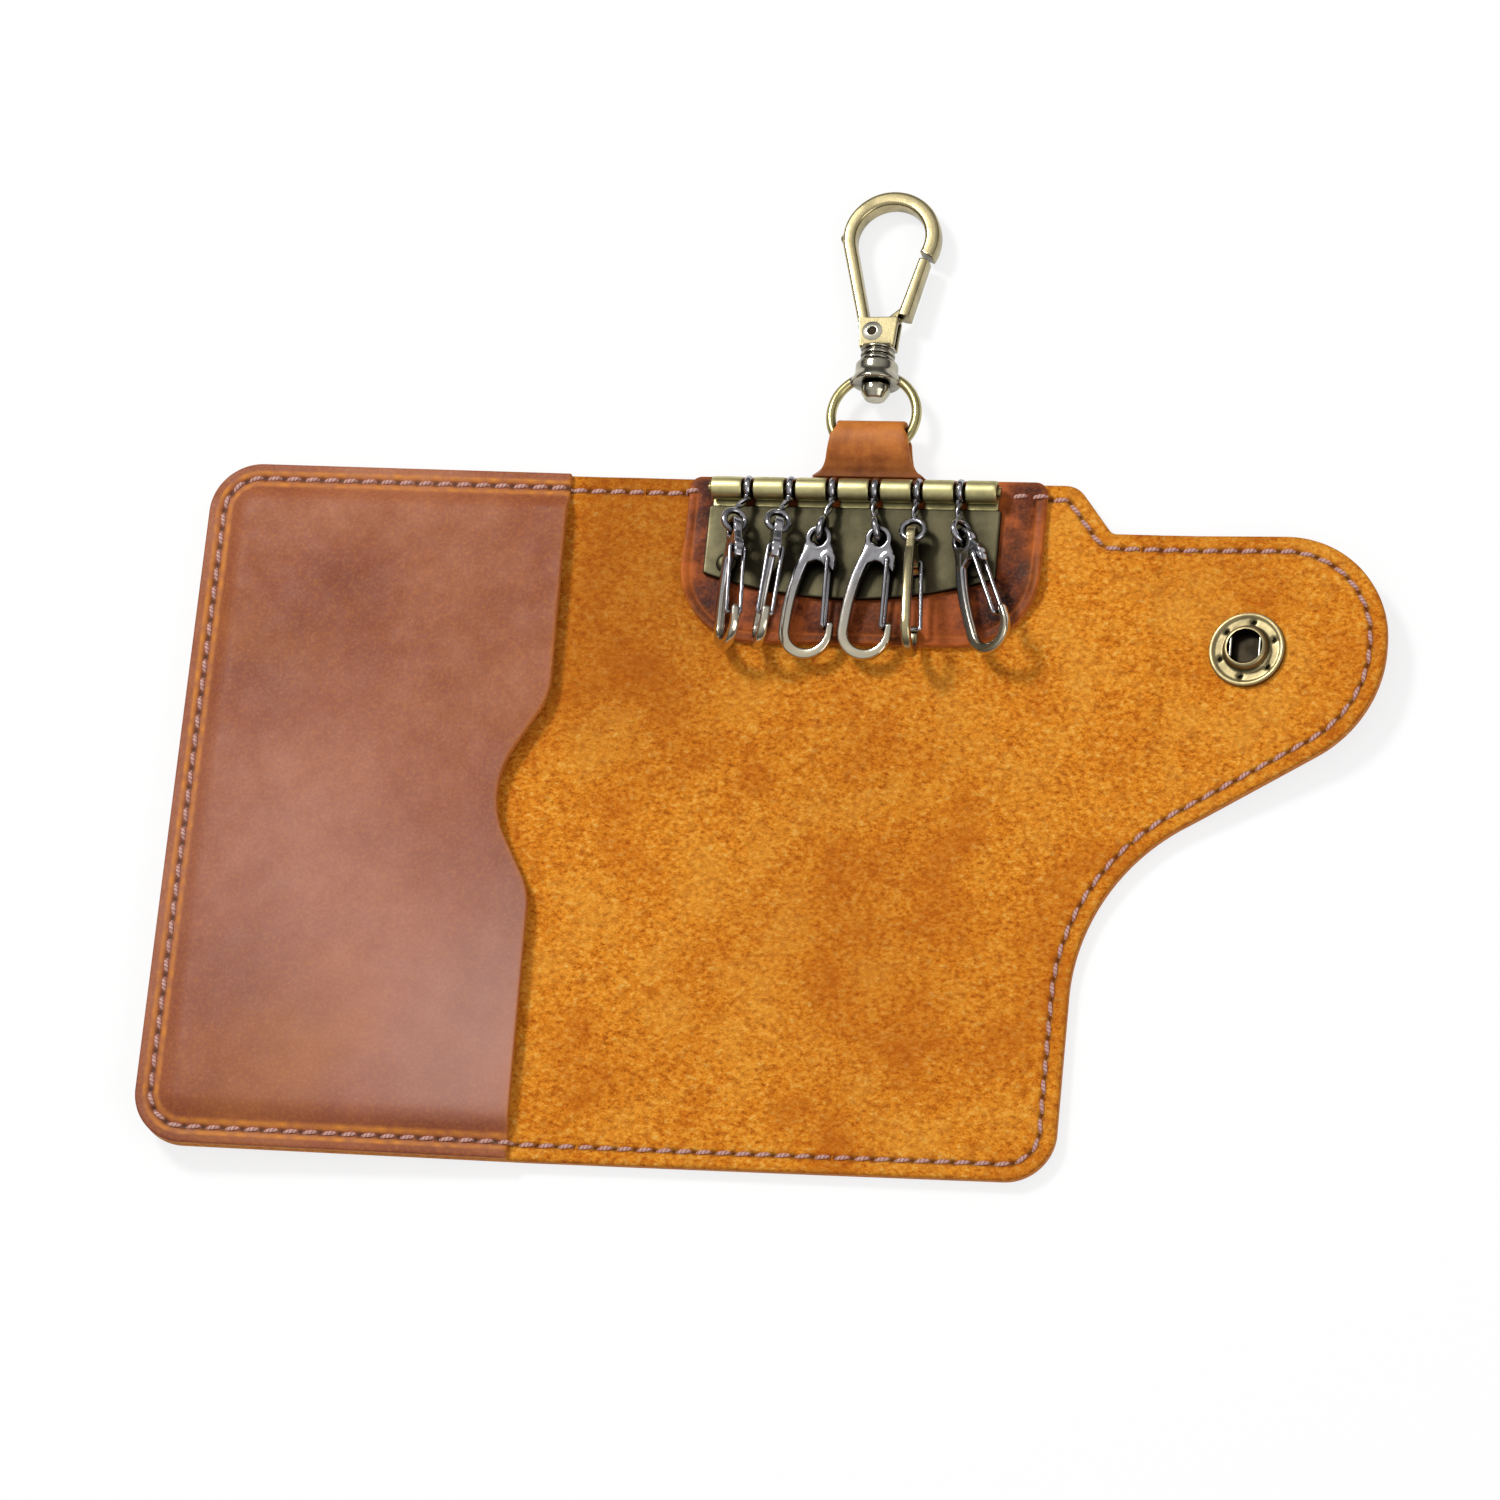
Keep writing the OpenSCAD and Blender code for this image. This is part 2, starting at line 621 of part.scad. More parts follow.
gate_pivot = [2, -3.2];
lug_r = 1.25;
gate_tip = [bend_mid_r - tip_w / 2 - gate_wire / 2 - 2 * fit, -hook_len + tip_rise * 2 / 3];
gate_side = hook_t / 2 + fit + gate_wire / 2;
gate_bore = gate_wire + 2 * fit;
shoulder_shares = [
    [-0.98, -0.2], [0.98, -0.2], [1.3, -0.9], [1.5, -1.9], [1.42, -2.35],
    [1.2, -2.2], [0.6, -1.85], [0, -1.65], [-0.55, -1.9], [-0.95, -2.2], [-1.2, -1.7]
];
module hook_body(i) {
    color("slategray") on_hook(i) difference() {
        translate([0, 0, -hook_t / 2]) {
            linear_extrude(hook_t) polygon(band(hook_path, hook_widths));
            linear_extrude(hook_t) polygon([for (s = shoulder_shares) head_r * s]);
            cylinder(r = head_r, h = hook_t);
            translate(gate_pivot) cylinder(r = lug_r, h = hook_t);
        }
        translate([0, 0, -hook_t]) cylinder(d = head_hole, h = 2 * hook_t);
        translate([gate_pivot[0], gate_pivot[1], -hook_t]) cylinder(d = gate_bore, h = 2 * hook_t);
    }
}
module hook_gate(i) {
    top = [gate_pivot[0], gate_pivot[1], 0];
    foot = [gate_tip[0], gate_tip[1], 0];
    side = [0, 0, gate_side];
    color("slategray") on_hook(i) {
        for (z = [-1, 1]) {
            rod(top + z * side, foot + z * side, gate_wire);
            translate(top + z * side) sphere(d = joint_share * gate_wire);
            translate(foot + z * side) sphere(d = joint_share * gate_wire);
        }
        rod(top - side, top + side, gate_wire);
        rod(foot - side, foot + side, gate_wire);
    }
}

// Strap loop at the top edge, holding the swivel ring
loop_lift = 0.95;
loop_mid_z = plate_z + loop_lift;
loop_out_r = loop_room / 2 + loop_t;
loop_end_y = half_h + strap_len - loop_out_r;
loop_from = 3.8;
loop_start_y = half_h + loop_from;
flare_w = 3.55;
strap_corner_r = 1.8;
strap_end_w = 12.6;
ring_slope = 2.6;
clasp_lean = 2;
ring_out = 10.9;
ring_centre = [patch_shift, half_h + ring_out, loop_mid_z - ring_r * sin(ring_slope) + fit];
ring_room = 0.2;
module loop_bar(r) {
    for (y = [loop_start_y, loop_end_y])
        translate([0, y, loop_mid_z]) along_x(strap_w * 2) cylinder(r = r, h = strap_w * 2);
    translate([-strap_w, loop_start_y, loop_mid_z - r])
        cube([2 * strap_w, loop_end_y - loop_start_y, 2 * r]);
}
strap_half = strap_w / 2;
strap_top_y = half_h + strap_len;
strap_edge = concat(
    [for (i = [0:arc_steps]) let(a = -90 - 90 * i / arc_steps)
        [strap_half + flare_w + flare_w * cos(a), half_h + flare_w + flare_w * sin(a)]],
    [for (i = [0:arc_steps]) let(a = 90 * i / arc_steps)
        [strap_end_w / 2 - strap_corner_r + strap_corner_r * cos(a),
            strap_top_y - strap_corner_r + strap_corner_r * sin(a)]]
);
module on_ring() {
    translate(ring_centre) rotate([0, 0, clasp_lean]) rotate([-ring_slope, 0, 0]) children();
}
module strap_loop() {
    color("sienna") difference() {
        intersection() {
            translate([patch_shift, 0, 0]) union() {
                loop_bar(loop_out_r);
                translate([-strap_w, half_h, patch_z])
                    cube([2 * strap_w, loop_from - over, patch_t]);
            }
            translate([patch_shift, 0, 0]) linear_extrude(2 * strap_len) polygon(concat(
                strap_edge, reversed([for (p = strap_edge) [-p[0], p[1]]])
            ));
        }
        translate([patch_shift, 0, 0]) loop_bar(loop_room / 2);
        on_ring() torus(ring_r, ring_wire + 2 * ring_room);
    }
}

// Swivel ring: round wire with a bored boss for the clasp's stem
boss_from = 5.3;
boss_to = 8.9;
boss_d = 7;
boss_low_d = 8.4;
stem_d = 2.6;
module along_y(from) {
    translate([0, from, 0]) rotate([-90, 0, 0]) children();
}
module swivel_ring() {
    boss_h = boss_to - boss_from;
    color("darkkhaki") on_ring() difference() {
        union() {
            torus(ring_r, ring_wire);
            along_y(boss_from) cylinder(d1 = boss_low_d, d2 = boss_d, h = boss_h / 2);
            along_y(boss_from) cylinder(d = boss_d, h = boss_h);
        }
        along_y(boss_from - over) cylinder(d = stem_d + 2 * fit, h = boss_h + 2 * over);
        along_y(boss_from - over) cylinder(r = ring_r - ring_wire, h = over);
    }
}

// Clasp: stem, neck, block and bow, with a sprung gate on a hollow rivet
stem_head_d = 4.8;
stem_head_from = 2.6;
stem_head_h = 1.25;
neck_from = 9.1;
neck_d = 5.7;
neck_groove = 0.7;
groove_depth = 0.45;
block_from = 11.6;
block_to = 16.9;
block_w = [5.8, 6.8];
bow_shift = 1.05;
bow_top_w = 2.6;
bow_arm_w = 2;
bow_mid_r = (bow_w - bow_top_w) / 2;
bow_y = clasp_len - bow_w / 2;
bow_foot = [-2.35, 15.6];
bow_start = 193;
nose_turn = 24;
bow_path = concat(
    [bow_foot],
    [for (i = [0:3 * arc_steps]) let(a = bow_start - (bow_start + nose_turn) * i / (3 * arc_steps))
        [bow_shift + bow_mid_r * cos(a), bow_y + bow_mid_r * sin(a)]]
);
bow_widths = [for (i = [0:len(bow_path) - 1])
    bow_arm_w + (bow_top_w - bow_arm_w) * min(1, 2 * i / (len(bow_path) - 1))];
nib_d = 1.7;
nib_rise = 0.2;
nib = [bow_shift - bow_w / 2 + nib_d / 3, bow_y + nib_rise];
rivet_at = [-0.9, 14.3];
rivet_out_d = 3.4;
rivet_shank_d = 1.6;
rivet_bore = 1;
rivet_lip = 0.3;
slot_t = 1.7;
tongue_t = 1.1;
spring_t = 0.45;
clasp_gate_w = 2.2;
gate_foot = [4.2, 17.6];
gate_top_step = [-0.75, -1.55];
gate_top = bow_path[len(bow_path) - 1] + gate_top_step;
tongue_r = 1.7;
tongue_z = -slot_t / 2 + fit;
module clasp_body() {
    color("darkkhaki") on_ring() difference() {
        union() {
            along_y(stem_head_from) cylinder(d1 = stem_head_d * 2 / 3, d2 = stem_head_d, h = stem_head_h);
            along_y(stem_head_from + stem_head_h) cylinder(d = stem_head_d, h = stem_head_h);
            along_y(stem_head_from) cylinder(d = stem_d, h = block_from - stem_head_from + over);
            along_y(neck_from) difference() {
                cylinder(d = neck_d, h = block_from - neck_from);
                for (i = [0, 1]) translate([0, 0, neck_groove + 2 * neck_groove * i]) difference() {
                    cylinder(d = 2 * neck_d, h = neck_groove / 2);
                    translate([0, 0, -over])
                        cylinder(d = neck_d - 2 * groove_depth, h = 2 * over + neck_groove);
                }
            }
            translate([0, 0, -clasp_t / 2]) linear_extrude(clasp_t) polygon([
                [-block_w[0] / 2, block_from], [block_w[0] / 2, block_from],
                [block_w[1] / 2, block_to - over], [block_w[1] / 2 - over, block_to],
                [-block_w[1] / 2, block_to]
            ]);
            translate([0, 0, -clasp_t / 2]) linear_extrude(clasp_t) polygon(band(bow_path, bow_widths));
            translate([nib[0], nib[1], -nib_d / 2]) cylinder(d = nib_d, h = nib_d);
        }
        translate([rivet_at[0] - tongue_r - fit, block_from + over, -slot_t / 2])
            cube([2 * block_w[1], block_to, slot_t]);
        translate([rivet_at[0], rivet_at[1], -clasp_t])
            cylinder(d = rivet_shank_d + 2 * press, h = 2 * clasp_t);
    }
}
module clasp_gate() {
    arm = [gate_foot, (gate_foot + gate_top) / 2, gate_top];
    color("darkkhaki") on_ring() difference() {
        union() {
            translate([0, 0, -clasp_t / 2]) linear_extrude(clasp_t)
                polygon(band(arm, [clasp_gate_w, clasp_gate_w, clasp_gate_w * 4 / 5]));
            translate([0, 0, tongue_z]) linear_extrude(tongue_t) polygon(band(
                [rivet_at, gate_foot + (gate_top - gate_foot) / 6],
                [2 * tongue_r, clasp_gate_w]
            ));
            translate([rivet_at[0], rivet_at[1], tongue_z]) cylinder(r = tongue_r, h = tongue_t);
        }
        translate([rivet_at[0], rivet_at[1], -clasp_t])
            cylinder(d = rivet_shank_d + 2 * fit, h = 2 * clasp_t);
    }
}
module clasp_rivet() {
    color("tan") on_ring() translate([rivet_at[0], rivet_at[1], 0]) difference() {
        union() {
            translate([0, 0, -clasp_t / 2]) cylinder(d = rivet_shank_d, h = clasp_t);
            for (z = [clasp_t / 2, -clasp_t / 2 - rivet_lip])
                translate([0, 0, z]) cylinder(d = rivet_out_d, h = rivet_lip);
        }
        translate([0, 0, -clasp_t]) cylinder(d = rivet_bore, h = 2 * clasp_t);
    }
}
module clasp_spring() {
    color("dimgray") on_ring()
        translate([rivet_at[0], rivet_at[1], tongue_z + tongue_t + fit + spring_t / 2])
            torus(rivet_shank_d / 2 + spring_t / 2 + fit, spring_t);
}

// Seams: stitches at an even pitch along the outline, drawn in by the seam's inset
seam_line = outline(case_corners, seam_inset);
seam_n = len(seam_line);
seam_marks = [for (i = 0, s = 0; i <= seam_n;
    s = s + norm(seam_line[(i + 1) % seam_n] - seam_line[i % seam_n]), i = i + 1) s];
seam_xs = [for (i = [0:seam_n]) [seam_marks[i], seam_line[i % seam_n][0]]];
seam_ys = [for (i = [0:seam_n]) [seam_marks[i], seam_line[i % seam_n][1]]];
seam_len = seam_marks[seam_n];
stitches = floor(seam_len / stitch_pitch);
function seam_at(s) = [lookup(s, seam_xs), lookup(s, seam_ys)];
stitch_places = [for (i = [0:stitches - 1]) let(s = (i + 0.5) * seam_len / stitches)
    [seam_at(s), seam_at(s + stitch_l / 4) - seam_at(s - stitch_l / 4)]];
fold_keep = stitch_l / 2 + thread_w;
function flap_out(p) = (p - fold_foot) * fold_n;
function between(v, low, high) = v > low + fold_keep && v < high - fold_keep;
function in_card_panel(p) = between(p[0], -span, fold_b);
function in_left_spine(p) = between(p[0], fold_b, fold_a);
function in_centre(p) = between(p[0], fold_a, span) && flap_out(p) < -fold_keep;
function in_flap_spine(p) = between(flap_out(p), 0, flap_spine_w);
function in_flap(p) = between(flap_out(p), flap_spine_w, span);
function on_patch(p) = p[1] > half_h - patch_h && abs(p[0] - patch_shift) < patch_w / 2 + stitch_l / 2;
function under_plate(p) = on_patch(p) && abs(p[0]) < plate_w / 2 + stitch_l / 2 + thread_w;
function half_on(p) = on_patch(p) && abs(p[0] - patch_shift) > patch_w / 2 - stitch_l / 2 - thread_w;
function at_mouth(p) = abs(p[0] - (p[1] > 0 ? fold_b - mouth_top : fold_b - mouth_bottom)) < fold_keep;
function seam_z(p) = leather_t
    + (on_patch(p) ? patch_t : 0)
    + (p[0] < (p[1] > 0 ? fold_b - mouth_top : fold_b - mouth_bottom) ? pocket_t : 0);
module stitch(place, z) {
    p = place[0];
    d = place[1];
    translate([p[0], p[1], z]) rotate([0, 0, atan2(d[1], d[0])])
        translate([-stitch_l / 2, -thread_w / 2, 0]) cube([stitch_l, thread_w, thread_h]);
}
module seam_centre() {
    color("rosybrown") for (s = stitch_places)
        if (in_centre(s[0]) && !under_plate(s[0]) && !half_on(s[0])) stitch(s, seam_z(s[0]));
}
module seam_left_spine() {
    color("rosybrown") on_left_spine() for (s = stitch_places)
        if (in_left_spine(s[0])) stitch(s, leather_t);
}
module seam_card_panel() {
    color("rosybrown") on_card_panel() for (s = stitch_places)
        if (in_card_panel(s[0]) && !at_mouth(s[0])) stitch(s, seam_z(s[0]));
}
module seam_flap_spine() {
    color("rosybrown") on_flap_spine() for (s = stitch_places)
        if (in_flap_spine(s[0])) stitch(s, leather_t);
}
module seam_flap() {
    color("rosybrown") on_flap() for (s = stitch_places)
        if (in_flap(s[0])) stitch(s, leather_t);
}

centre_panel();
left_spine();
card_panel();
card_pocket();
flap_spine();
flap();
hook_patch();
strap_loop();
key_plate();
hinge_pin();
plate_rivets();
snap_cap();
snap_socket();
snap_spring();
snap_stud();
stud_eyelet();
for (i = HOOKS) {
    hook_link(i);
    hook_body(i);
    hook_gate(i);
}
swivel_ring();
clasp_body();
clasp_gate();
clasp_rivet();
clasp_spring();
seam_centre();
seam_left_spine();
seam_card_panel();
seam_flap_spine();
seam_flap();
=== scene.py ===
# %% [markdown]
# # A leather key case, opened out
# The case lies on a pale floor with its suede side up: a card pocket on the left, a row of key hooks on a brass
# plate in the middle, a flap with a snap on the right, and a swivel clasp on a leather strap at the top.
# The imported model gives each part's place. This script gives each part its real surface.
# Lengths are written in millimetres, as a maker would, and turned into Blender's metres in one place.

# %% The fixed frame
import json
import math

import bmesh
import bpy
import numpy as np
from mathutils import Matrix, Vector
from mathutils.geometry import delaunay_2d_cdt


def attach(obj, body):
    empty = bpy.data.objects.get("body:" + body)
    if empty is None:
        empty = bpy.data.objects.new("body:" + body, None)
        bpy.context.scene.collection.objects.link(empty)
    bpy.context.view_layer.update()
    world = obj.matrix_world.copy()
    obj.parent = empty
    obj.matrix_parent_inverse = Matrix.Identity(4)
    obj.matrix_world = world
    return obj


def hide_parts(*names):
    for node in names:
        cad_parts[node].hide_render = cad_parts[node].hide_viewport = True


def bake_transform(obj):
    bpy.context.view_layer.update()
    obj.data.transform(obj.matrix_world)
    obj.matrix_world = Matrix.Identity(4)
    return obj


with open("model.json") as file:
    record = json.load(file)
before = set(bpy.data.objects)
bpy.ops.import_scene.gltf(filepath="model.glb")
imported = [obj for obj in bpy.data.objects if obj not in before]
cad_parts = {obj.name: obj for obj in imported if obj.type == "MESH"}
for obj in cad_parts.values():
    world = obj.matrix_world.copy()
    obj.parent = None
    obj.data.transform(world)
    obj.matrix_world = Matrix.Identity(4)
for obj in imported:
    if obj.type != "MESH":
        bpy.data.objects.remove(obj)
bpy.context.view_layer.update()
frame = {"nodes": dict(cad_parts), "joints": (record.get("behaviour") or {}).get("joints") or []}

MM = 0.001

# %% [markdown]
# ## Camera
# The photograph was taken from above and a little from the right with a long lens, so its lines stay almost parallel.
# A camera could be aimed by eye. Here its place and its three directions were found once by fitting the case's
# corners, so they are written as a matrix.
# %% Camera
CAMERA_AT = Vector((232.84, -328.63, 1022.48)) * MM
RIGHT, UP = (0.97436, 0.09579, -0.20357), (-0.02581, 0.94646, 0.32179)
BACKWARD = (0.22350, -0.30829, 0.92467)
camera = bpy.data.objects.new("camera", bpy.data.cameras.new("camera"))
bpy.context.collection.objects.link(camera)
bpy.context.scene.camera = camera
camera.matrix_world = Matrix.Translation(CAMERA_AT) @ Matrix((RIGHT, UP, BACKWARD)).transposed().to_4x4()
camera.data.lens = 164.44
camera.data.clip_start = 0.05
print("camera height over the floor:", round(CAMERA_AT.z, 3), "m")

# %% [markdown]
# ## Finishes
# A finish is a small graph of nodes. It could be wired by hand in the node editor. A few short methods make the same
# graph in code, with one line for each layer of the real surface. Patterns read Object coordinates, which are metres
# here, so a noise scale of 1000 makes marks of about a millimetre.
# %% Graph helpers
def put(tree, kind, **inputs):
    """A node of that kind. Names that start with in_ are its inputs: a socket is linked, anything else is set."""
    node = tree.nodes.new(kind)
    for key, value in inputs.items():
        if not key.startswith("in_"):
            setattr(node, key, value)
    for key, value in inputs.items():
        if key.startswith("in_"):
            name = key[3:]
            socket = node.inputs[int(name)] if name.isdigit() else node.inputs[name.replace("_", " ")]
            if isinstance(value, bpy.types.NodeSocket):
                tree.links.new(value, socket)
            else:
                socket.default_value = value
    return node


def lin(r, g, b):
    """Linear light of an sRGB colour written as 0 to 255: a power curve above a short straight piece."""
    return tuple(v / 3294.6 if v <= 10.3 else ((v / 255 + 0.055) / 1.055) ** 2.4 for v in (r, g, b))


class Finish:
    """A material that grows layer by layer. tone is its colour so far, and spot the place that patterns read."""

    def __init__(self, name, **plain):
        """plain holds the shader values that are the same all over the surface."""
        self.material = bpy.data.materials.new(name)
        self.material.use_nodes = True
        self.tree = self.material.node_tree
        self.shader = self.tree.nodes["Principled BSDF"]
        self.spot = put(self.tree, "ShaderNodeTexCoord").outputs["Object"]
        for key, value in plain.items():
            self.shader.inputs[key.replace("_", " ")].default_value = value

    def noise(self, scale, detail=4, rough=0.55, squash=None, turn=0):
        """Cloudy noise. squash gives it another scale along each axis, after a turn about Z."""
        spot = self.spot
        if squash:
            spot = put(self.tree, "ShaderNodeMapping", in_Vector=spot, in_Scale=squash,
                       in_Rotation=(0, 0, turn)).outputs[0]
        return put(self.tree, "ShaderNodeTexNoise", in_Vector=spot, in_Scale=scale, in_Detail=detail,
                   in_Roughness=rough).outputs["Fac"]

    def told(self, name):
        """A number that the mesh carries at each point."""
        return put(self.tree, "ShaderNodeAttribute", attribute_name=name).outputs["Fac"]

    def maths(self, how, a, b):
        """One step of arithmetic on two numbers."""
        return put(self.tree, "ShaderNodeMath", operation=how, in_0=a, in_1=b).outputs[0]

    def spread(self, fac, low, high, to_low=0.0, to_high=1.0):
        """A straight line from low, which gives to_low, to high, which gives to_high, and flat beyond them."""
        return put(self.tree, "ShaderNodeMapRange", in_Value=fac, in_From_Min=low, in_From_Max=high,
                   in_To_Min=to_low, in_To_Max=to_high).outputs["Result"]

    def ramp(self, fac, *stops):
        """The first colour: a ramp. Its own first and last elements take the first and last stops."""
        node = put(self.tree, "ShaderNodeValToRGB", in_Fac=fac)
        elements = node.color_ramp.elements
        elements[0].position, elements[1].position = stops[0][0], stops[-1][0]
        for at, _ in stops[1:-1]:
            elements.new(at)
        for element, (_, colour) in zip(elements, stops):
            element.color = (*colour, 1)
        self.tone = node.outputs["Color"]

    def over(self, colour, fac, low=None, high=None, most=1.0):
        """A layer of another colour. Its share is fac, or rises from nought to most as fac goes from low to high."""
        if low is not None:
            fac = self.spread(fac, low, high, 0, most)
        under = self.tone if isinstance(self.tone, bpy.types.NodeSocket) else (*self.tone, 1)
        self.tone = put(self.tree, "ShaderNodeMix", data_type="RGBA", in_0=fac, in_6=under,
                        in_7=(*colour, 1)).outputs[2]

    def done(self, *bumps, rough=None):
        """Colour, roughness and a chain of bumps go to the shader. A bump is height, strength and depth in metres."""
        links, inputs, normal = self.tree.links, self.shader.inputs, None
        links.new(self.tone, inputs["Base Color"])
        if rough is not None:
            links.new(rough, inputs["Roughness"])
        for height, strength, depth in bumps:
            bump = put(self.tree, "ShaderNodeBump", in_Height=height, in_Strength=strength, in_Distance=depth)
            if normal is not None:
                links.new(normal, bump.inputs["Normal"])
            normal = bump.outputs["Normal"]
        links.new(normal, inputs["Normal"])
        return self.material


# %% [markdown]
# ## Floor and light
# A white table under a big soft lamp at the upper left, with a paler fill from the right and a quiet sky.
# More light would make the background white, but it would bleach the leather too. So the floor itself is mixed with
# plain white, only for what the camera, a reflection or a clear thing sees directly, and it keeps the shadow. The sky
# is bright overhead and dark near the table, so that round metal gets light middles and dark sides.
# %% Floor and light
FLOOR_HALF, FLOOR_AT, WHITE_SHARE = 3.0, -0.00056, 0.78
mesh = bpy.data.meshes.new("floor")
mesh.from_pydata([(x * FLOOR_HALF, y * FLOOR_HALF, FLOOR_AT) for x, y in ((-1, -1), (1, -1), (1, 1), (-1, 1))], [],
                 [(0, 1, 2, 3)])
floor = bpy.data.objects.new("floor", mesh)
bpy.context.collection.objects.link(floor)
paper = Finish("floor", Base_Color=(0.93, 0.93, 0.93, 1), Roughness=0.9, Specular_IOR_Level=0.1)
ray = put(paper.tree, "ShaderNodeLightPath").outputs
direct = paper.maths("MAXIMUM", ray["Is Camera Ray"], ray["Is Glossy Ray"])
direct = paper.maths("MAXIMUM", direct, ray["Is Transmission Ray"])
blend = put(paper.tree, "ShaderNodeMixShader", in_0=paper.maths("MULTIPLY", direct, WHITE_SHARE),
            in_1=paper.shader.outputs[0], in_2=put(paper.tree, "ShaderNodeEmission").outputs[0])
paper.tree.links.new(blend.outputs[0], paper.tree.nodes["Material Output"].inputs["Surface"])
mesh.materials.append(paper.material)


def lamp(name, at, size, watts):
    """A square lamp that looks at the middle of the case."""
    data = bpy.data.lights.new(name, "AREA")
    data.size, data.energy = size, watts
    obj = bpy.data.objects.new(name, data)
    bpy.context.collection.objects.link(obj)
    obj.location = at
    obj.rotation_euler = (-Vector(at)).to_track_quat("-Z", "Y").to_euler()


lamp("key_light", (-0.45, 0.45, 0.8), 0.2, 6.6)
lamp("fill_light", (0.7, -0.35, 0.6), 0.6, 2.4)
world = bpy.data.worlds.new("sky")
bpy.context.scene.world = world
world.use_nodes = True
facing = put(world.node_tree, "ShaderNodeTexCoord").outputs["Generated"]
height = put(world.node_tree, "ShaderNodeSeparateXYZ", in_0=facing).outputs["Z"]
glow = put(world.node_tree, "ShaderNodeMapRange", interpolation_type="SMOOTHSTEP", in_Value=height,
           in_From_Min=0.15, in_From_Max=0.9, in_To_Min=0.08, in_To_Max=0.66).outputs["Result"]
sky = world.node_tree.nodes["Background"]
sky.inputs["Color"].default_value = (1, 1, 1, 1)
world.node_tree.links.new(glow, sky.inputs["Strength"])
bpy.context.scene.view_settings.view_transform = "Standard"

# %% [markdown]
# Suede is the rough flesh side of the hide: short fibres, brushed in patches, so it is matt with a soft sheen, and
# its colour breaks up into small light and dark marks. Real hairs could do this, but at this size they are finer than
# a pixel, so stretched noise and bumps are enough. The mesh adds painted shade in the stitch holes, along the seam's
# groove, beside the pocket and under the hooks. It also darkens the crease and gives a thin line of dark edge paint.
# %% Suede
def suede():
    """A ramp along the fibres' noise. Each later layer's share rises in a straight line with its own noise."""
    skin = Finish("suede", Roughness=0.95, Specular_IOR_Level=0.15, Sheen_Weight=0.25, Sheen_Roughness=0.5,
                  Sheen_Tint=(*lin(255, 190, 110), 1))
    fibre = skin.noise(1.0, 6, 0.74, squash=(1050, 1500, 1200), turn=0.5)
    nap, spots = skin.noise(1900, 4, 0.7), skin.noise(520, 5, 0.72)
    cloud, wide = skin.noise(70, 5, 0.65), skin.noise(17, 3, 0.5)
    skin.ramp(fibre, (0.34, lin(168, 74, 4)), (0.45, lin(232, 132, 22)), (0.56, lin(255, 166, 44)),
              (0.7, lin(255, 212, 118)))
    skin.over(lin(176, 78, 6), spots, 0.5, 0.7, 0.65)
    skin.over(lin(198, 94, 8), cloud, 0.5, 0.68, 0.5)
    skin.over(lin(255, 182, 70), cloud, 0.5, 0.3, 0.4)
    skin.over(lin(190, 92, 10), wide, 0.5, 0.7, 0.4)
    # Painted shade beside the pocket and under the hooks.
    skin.over(lin(150, 72, 10), skin.told("painted_shade"))
    # Painted shade in the stitch holes and along the seam's groove, with a darker crease and the dark edge paint.
    skin.over(lin(84, 36, 16), skin.told("wear_and_shade"))
    return skin.done((cloud, 0.3, 0.0007), (fibre, 1.0, 0.0006), (spots, 0.6, 0.0005), (nap, 0.7, 0.0002))


# %% [markdown]
# Waxed pull-up leather is smooth. Oils in it move when it is handled, so its brown has clouds, and it turns orange
# where a seam or an edge has been pressed. A painted map could hold those places, but the mesh knows them already: it
# marks them with the orange rub. It also carries a pale painted sheen, which stands for a reflection, and the painted
# shade of the stitch holes, which also makes the strap's root darker.
# %% Waxed leather
def waxed(name, low, mid, high, rub, gloss=0.5, cloud_scale=30, reach=0.2, shine=0.22):
    """The clouds run from low through mid to high, reach to each side of the noise's middle. rub is the orange."""
    skin = Finish(name, Specular_IOR_Level=shine)
    cloud, small = skin.noise(cloud_scale, 5, 0.6), skin.noise(260, 5, 0.6)
    creases, flecks = skin.noise(620, 6, 0.7), skin.noise(1700, 4, 0.7)
    golden = skin.noise(21, 3, 0.5, squash=(1, 1, 1), turn=1.2)
    grain = put(skin.tree, "ShaderNodeTexVoronoi", in_Vector=skin.spot, in_Scale=1900).outputs["Distance"]
    skin.ramp(cloud, (0.5 - reach, low), (0.5, mid), (0.5 + reach, high))
    skin.over(low, small, 0.4, 0.75, 0.22)
    skin.over(rub, flecks, 0.48, 0.75, 0.24)
    skin.over(low, flecks, 0.5, 0.25, 0.3)
    skin.over(rub, golden, 0.5, 0.7, 0.25)
    # Painted sheen: a pale lilac reflection where the mesh asks for it.
    skin.over(lin(196, 150, 138), skin.told("painted_sheen"))
    skin.over(rub, skin.maths("MULTIPLY", skin.told("wear_and_shade"), skin.spread(small, 0.36, 0.6, 0.45, 1)))
    # Painted shade: the stitch holes are painted dark. On the strap the same attribute paints its root darker.
    skin.over(lin(40, 18, 10), skin.told("hole"))
    return skin.done((creases, 0.16, 0.0002), (grain, 0.16, 0.00008),
                     rough=skin.spread(small, 0.3, 0.7, gloss - 0.06, gloss + 0.1))


def raw_edge():
    """The cut through the hide: fibres that are short across the leather and long along it."""
    skin = Finish("raw_edge", Roughness=0.85)
    fibre = skin.noise(1.0, 5, 0.7, squash=(900, 900, 3500))
    skin.ramp(fibre, (0.3, lin(150, 76, 24)), (0.55, lin(206, 126, 48)), (0.75, lin(232, 164, 90)))
    return skin.done((fibre, 0.6, 0.0003))
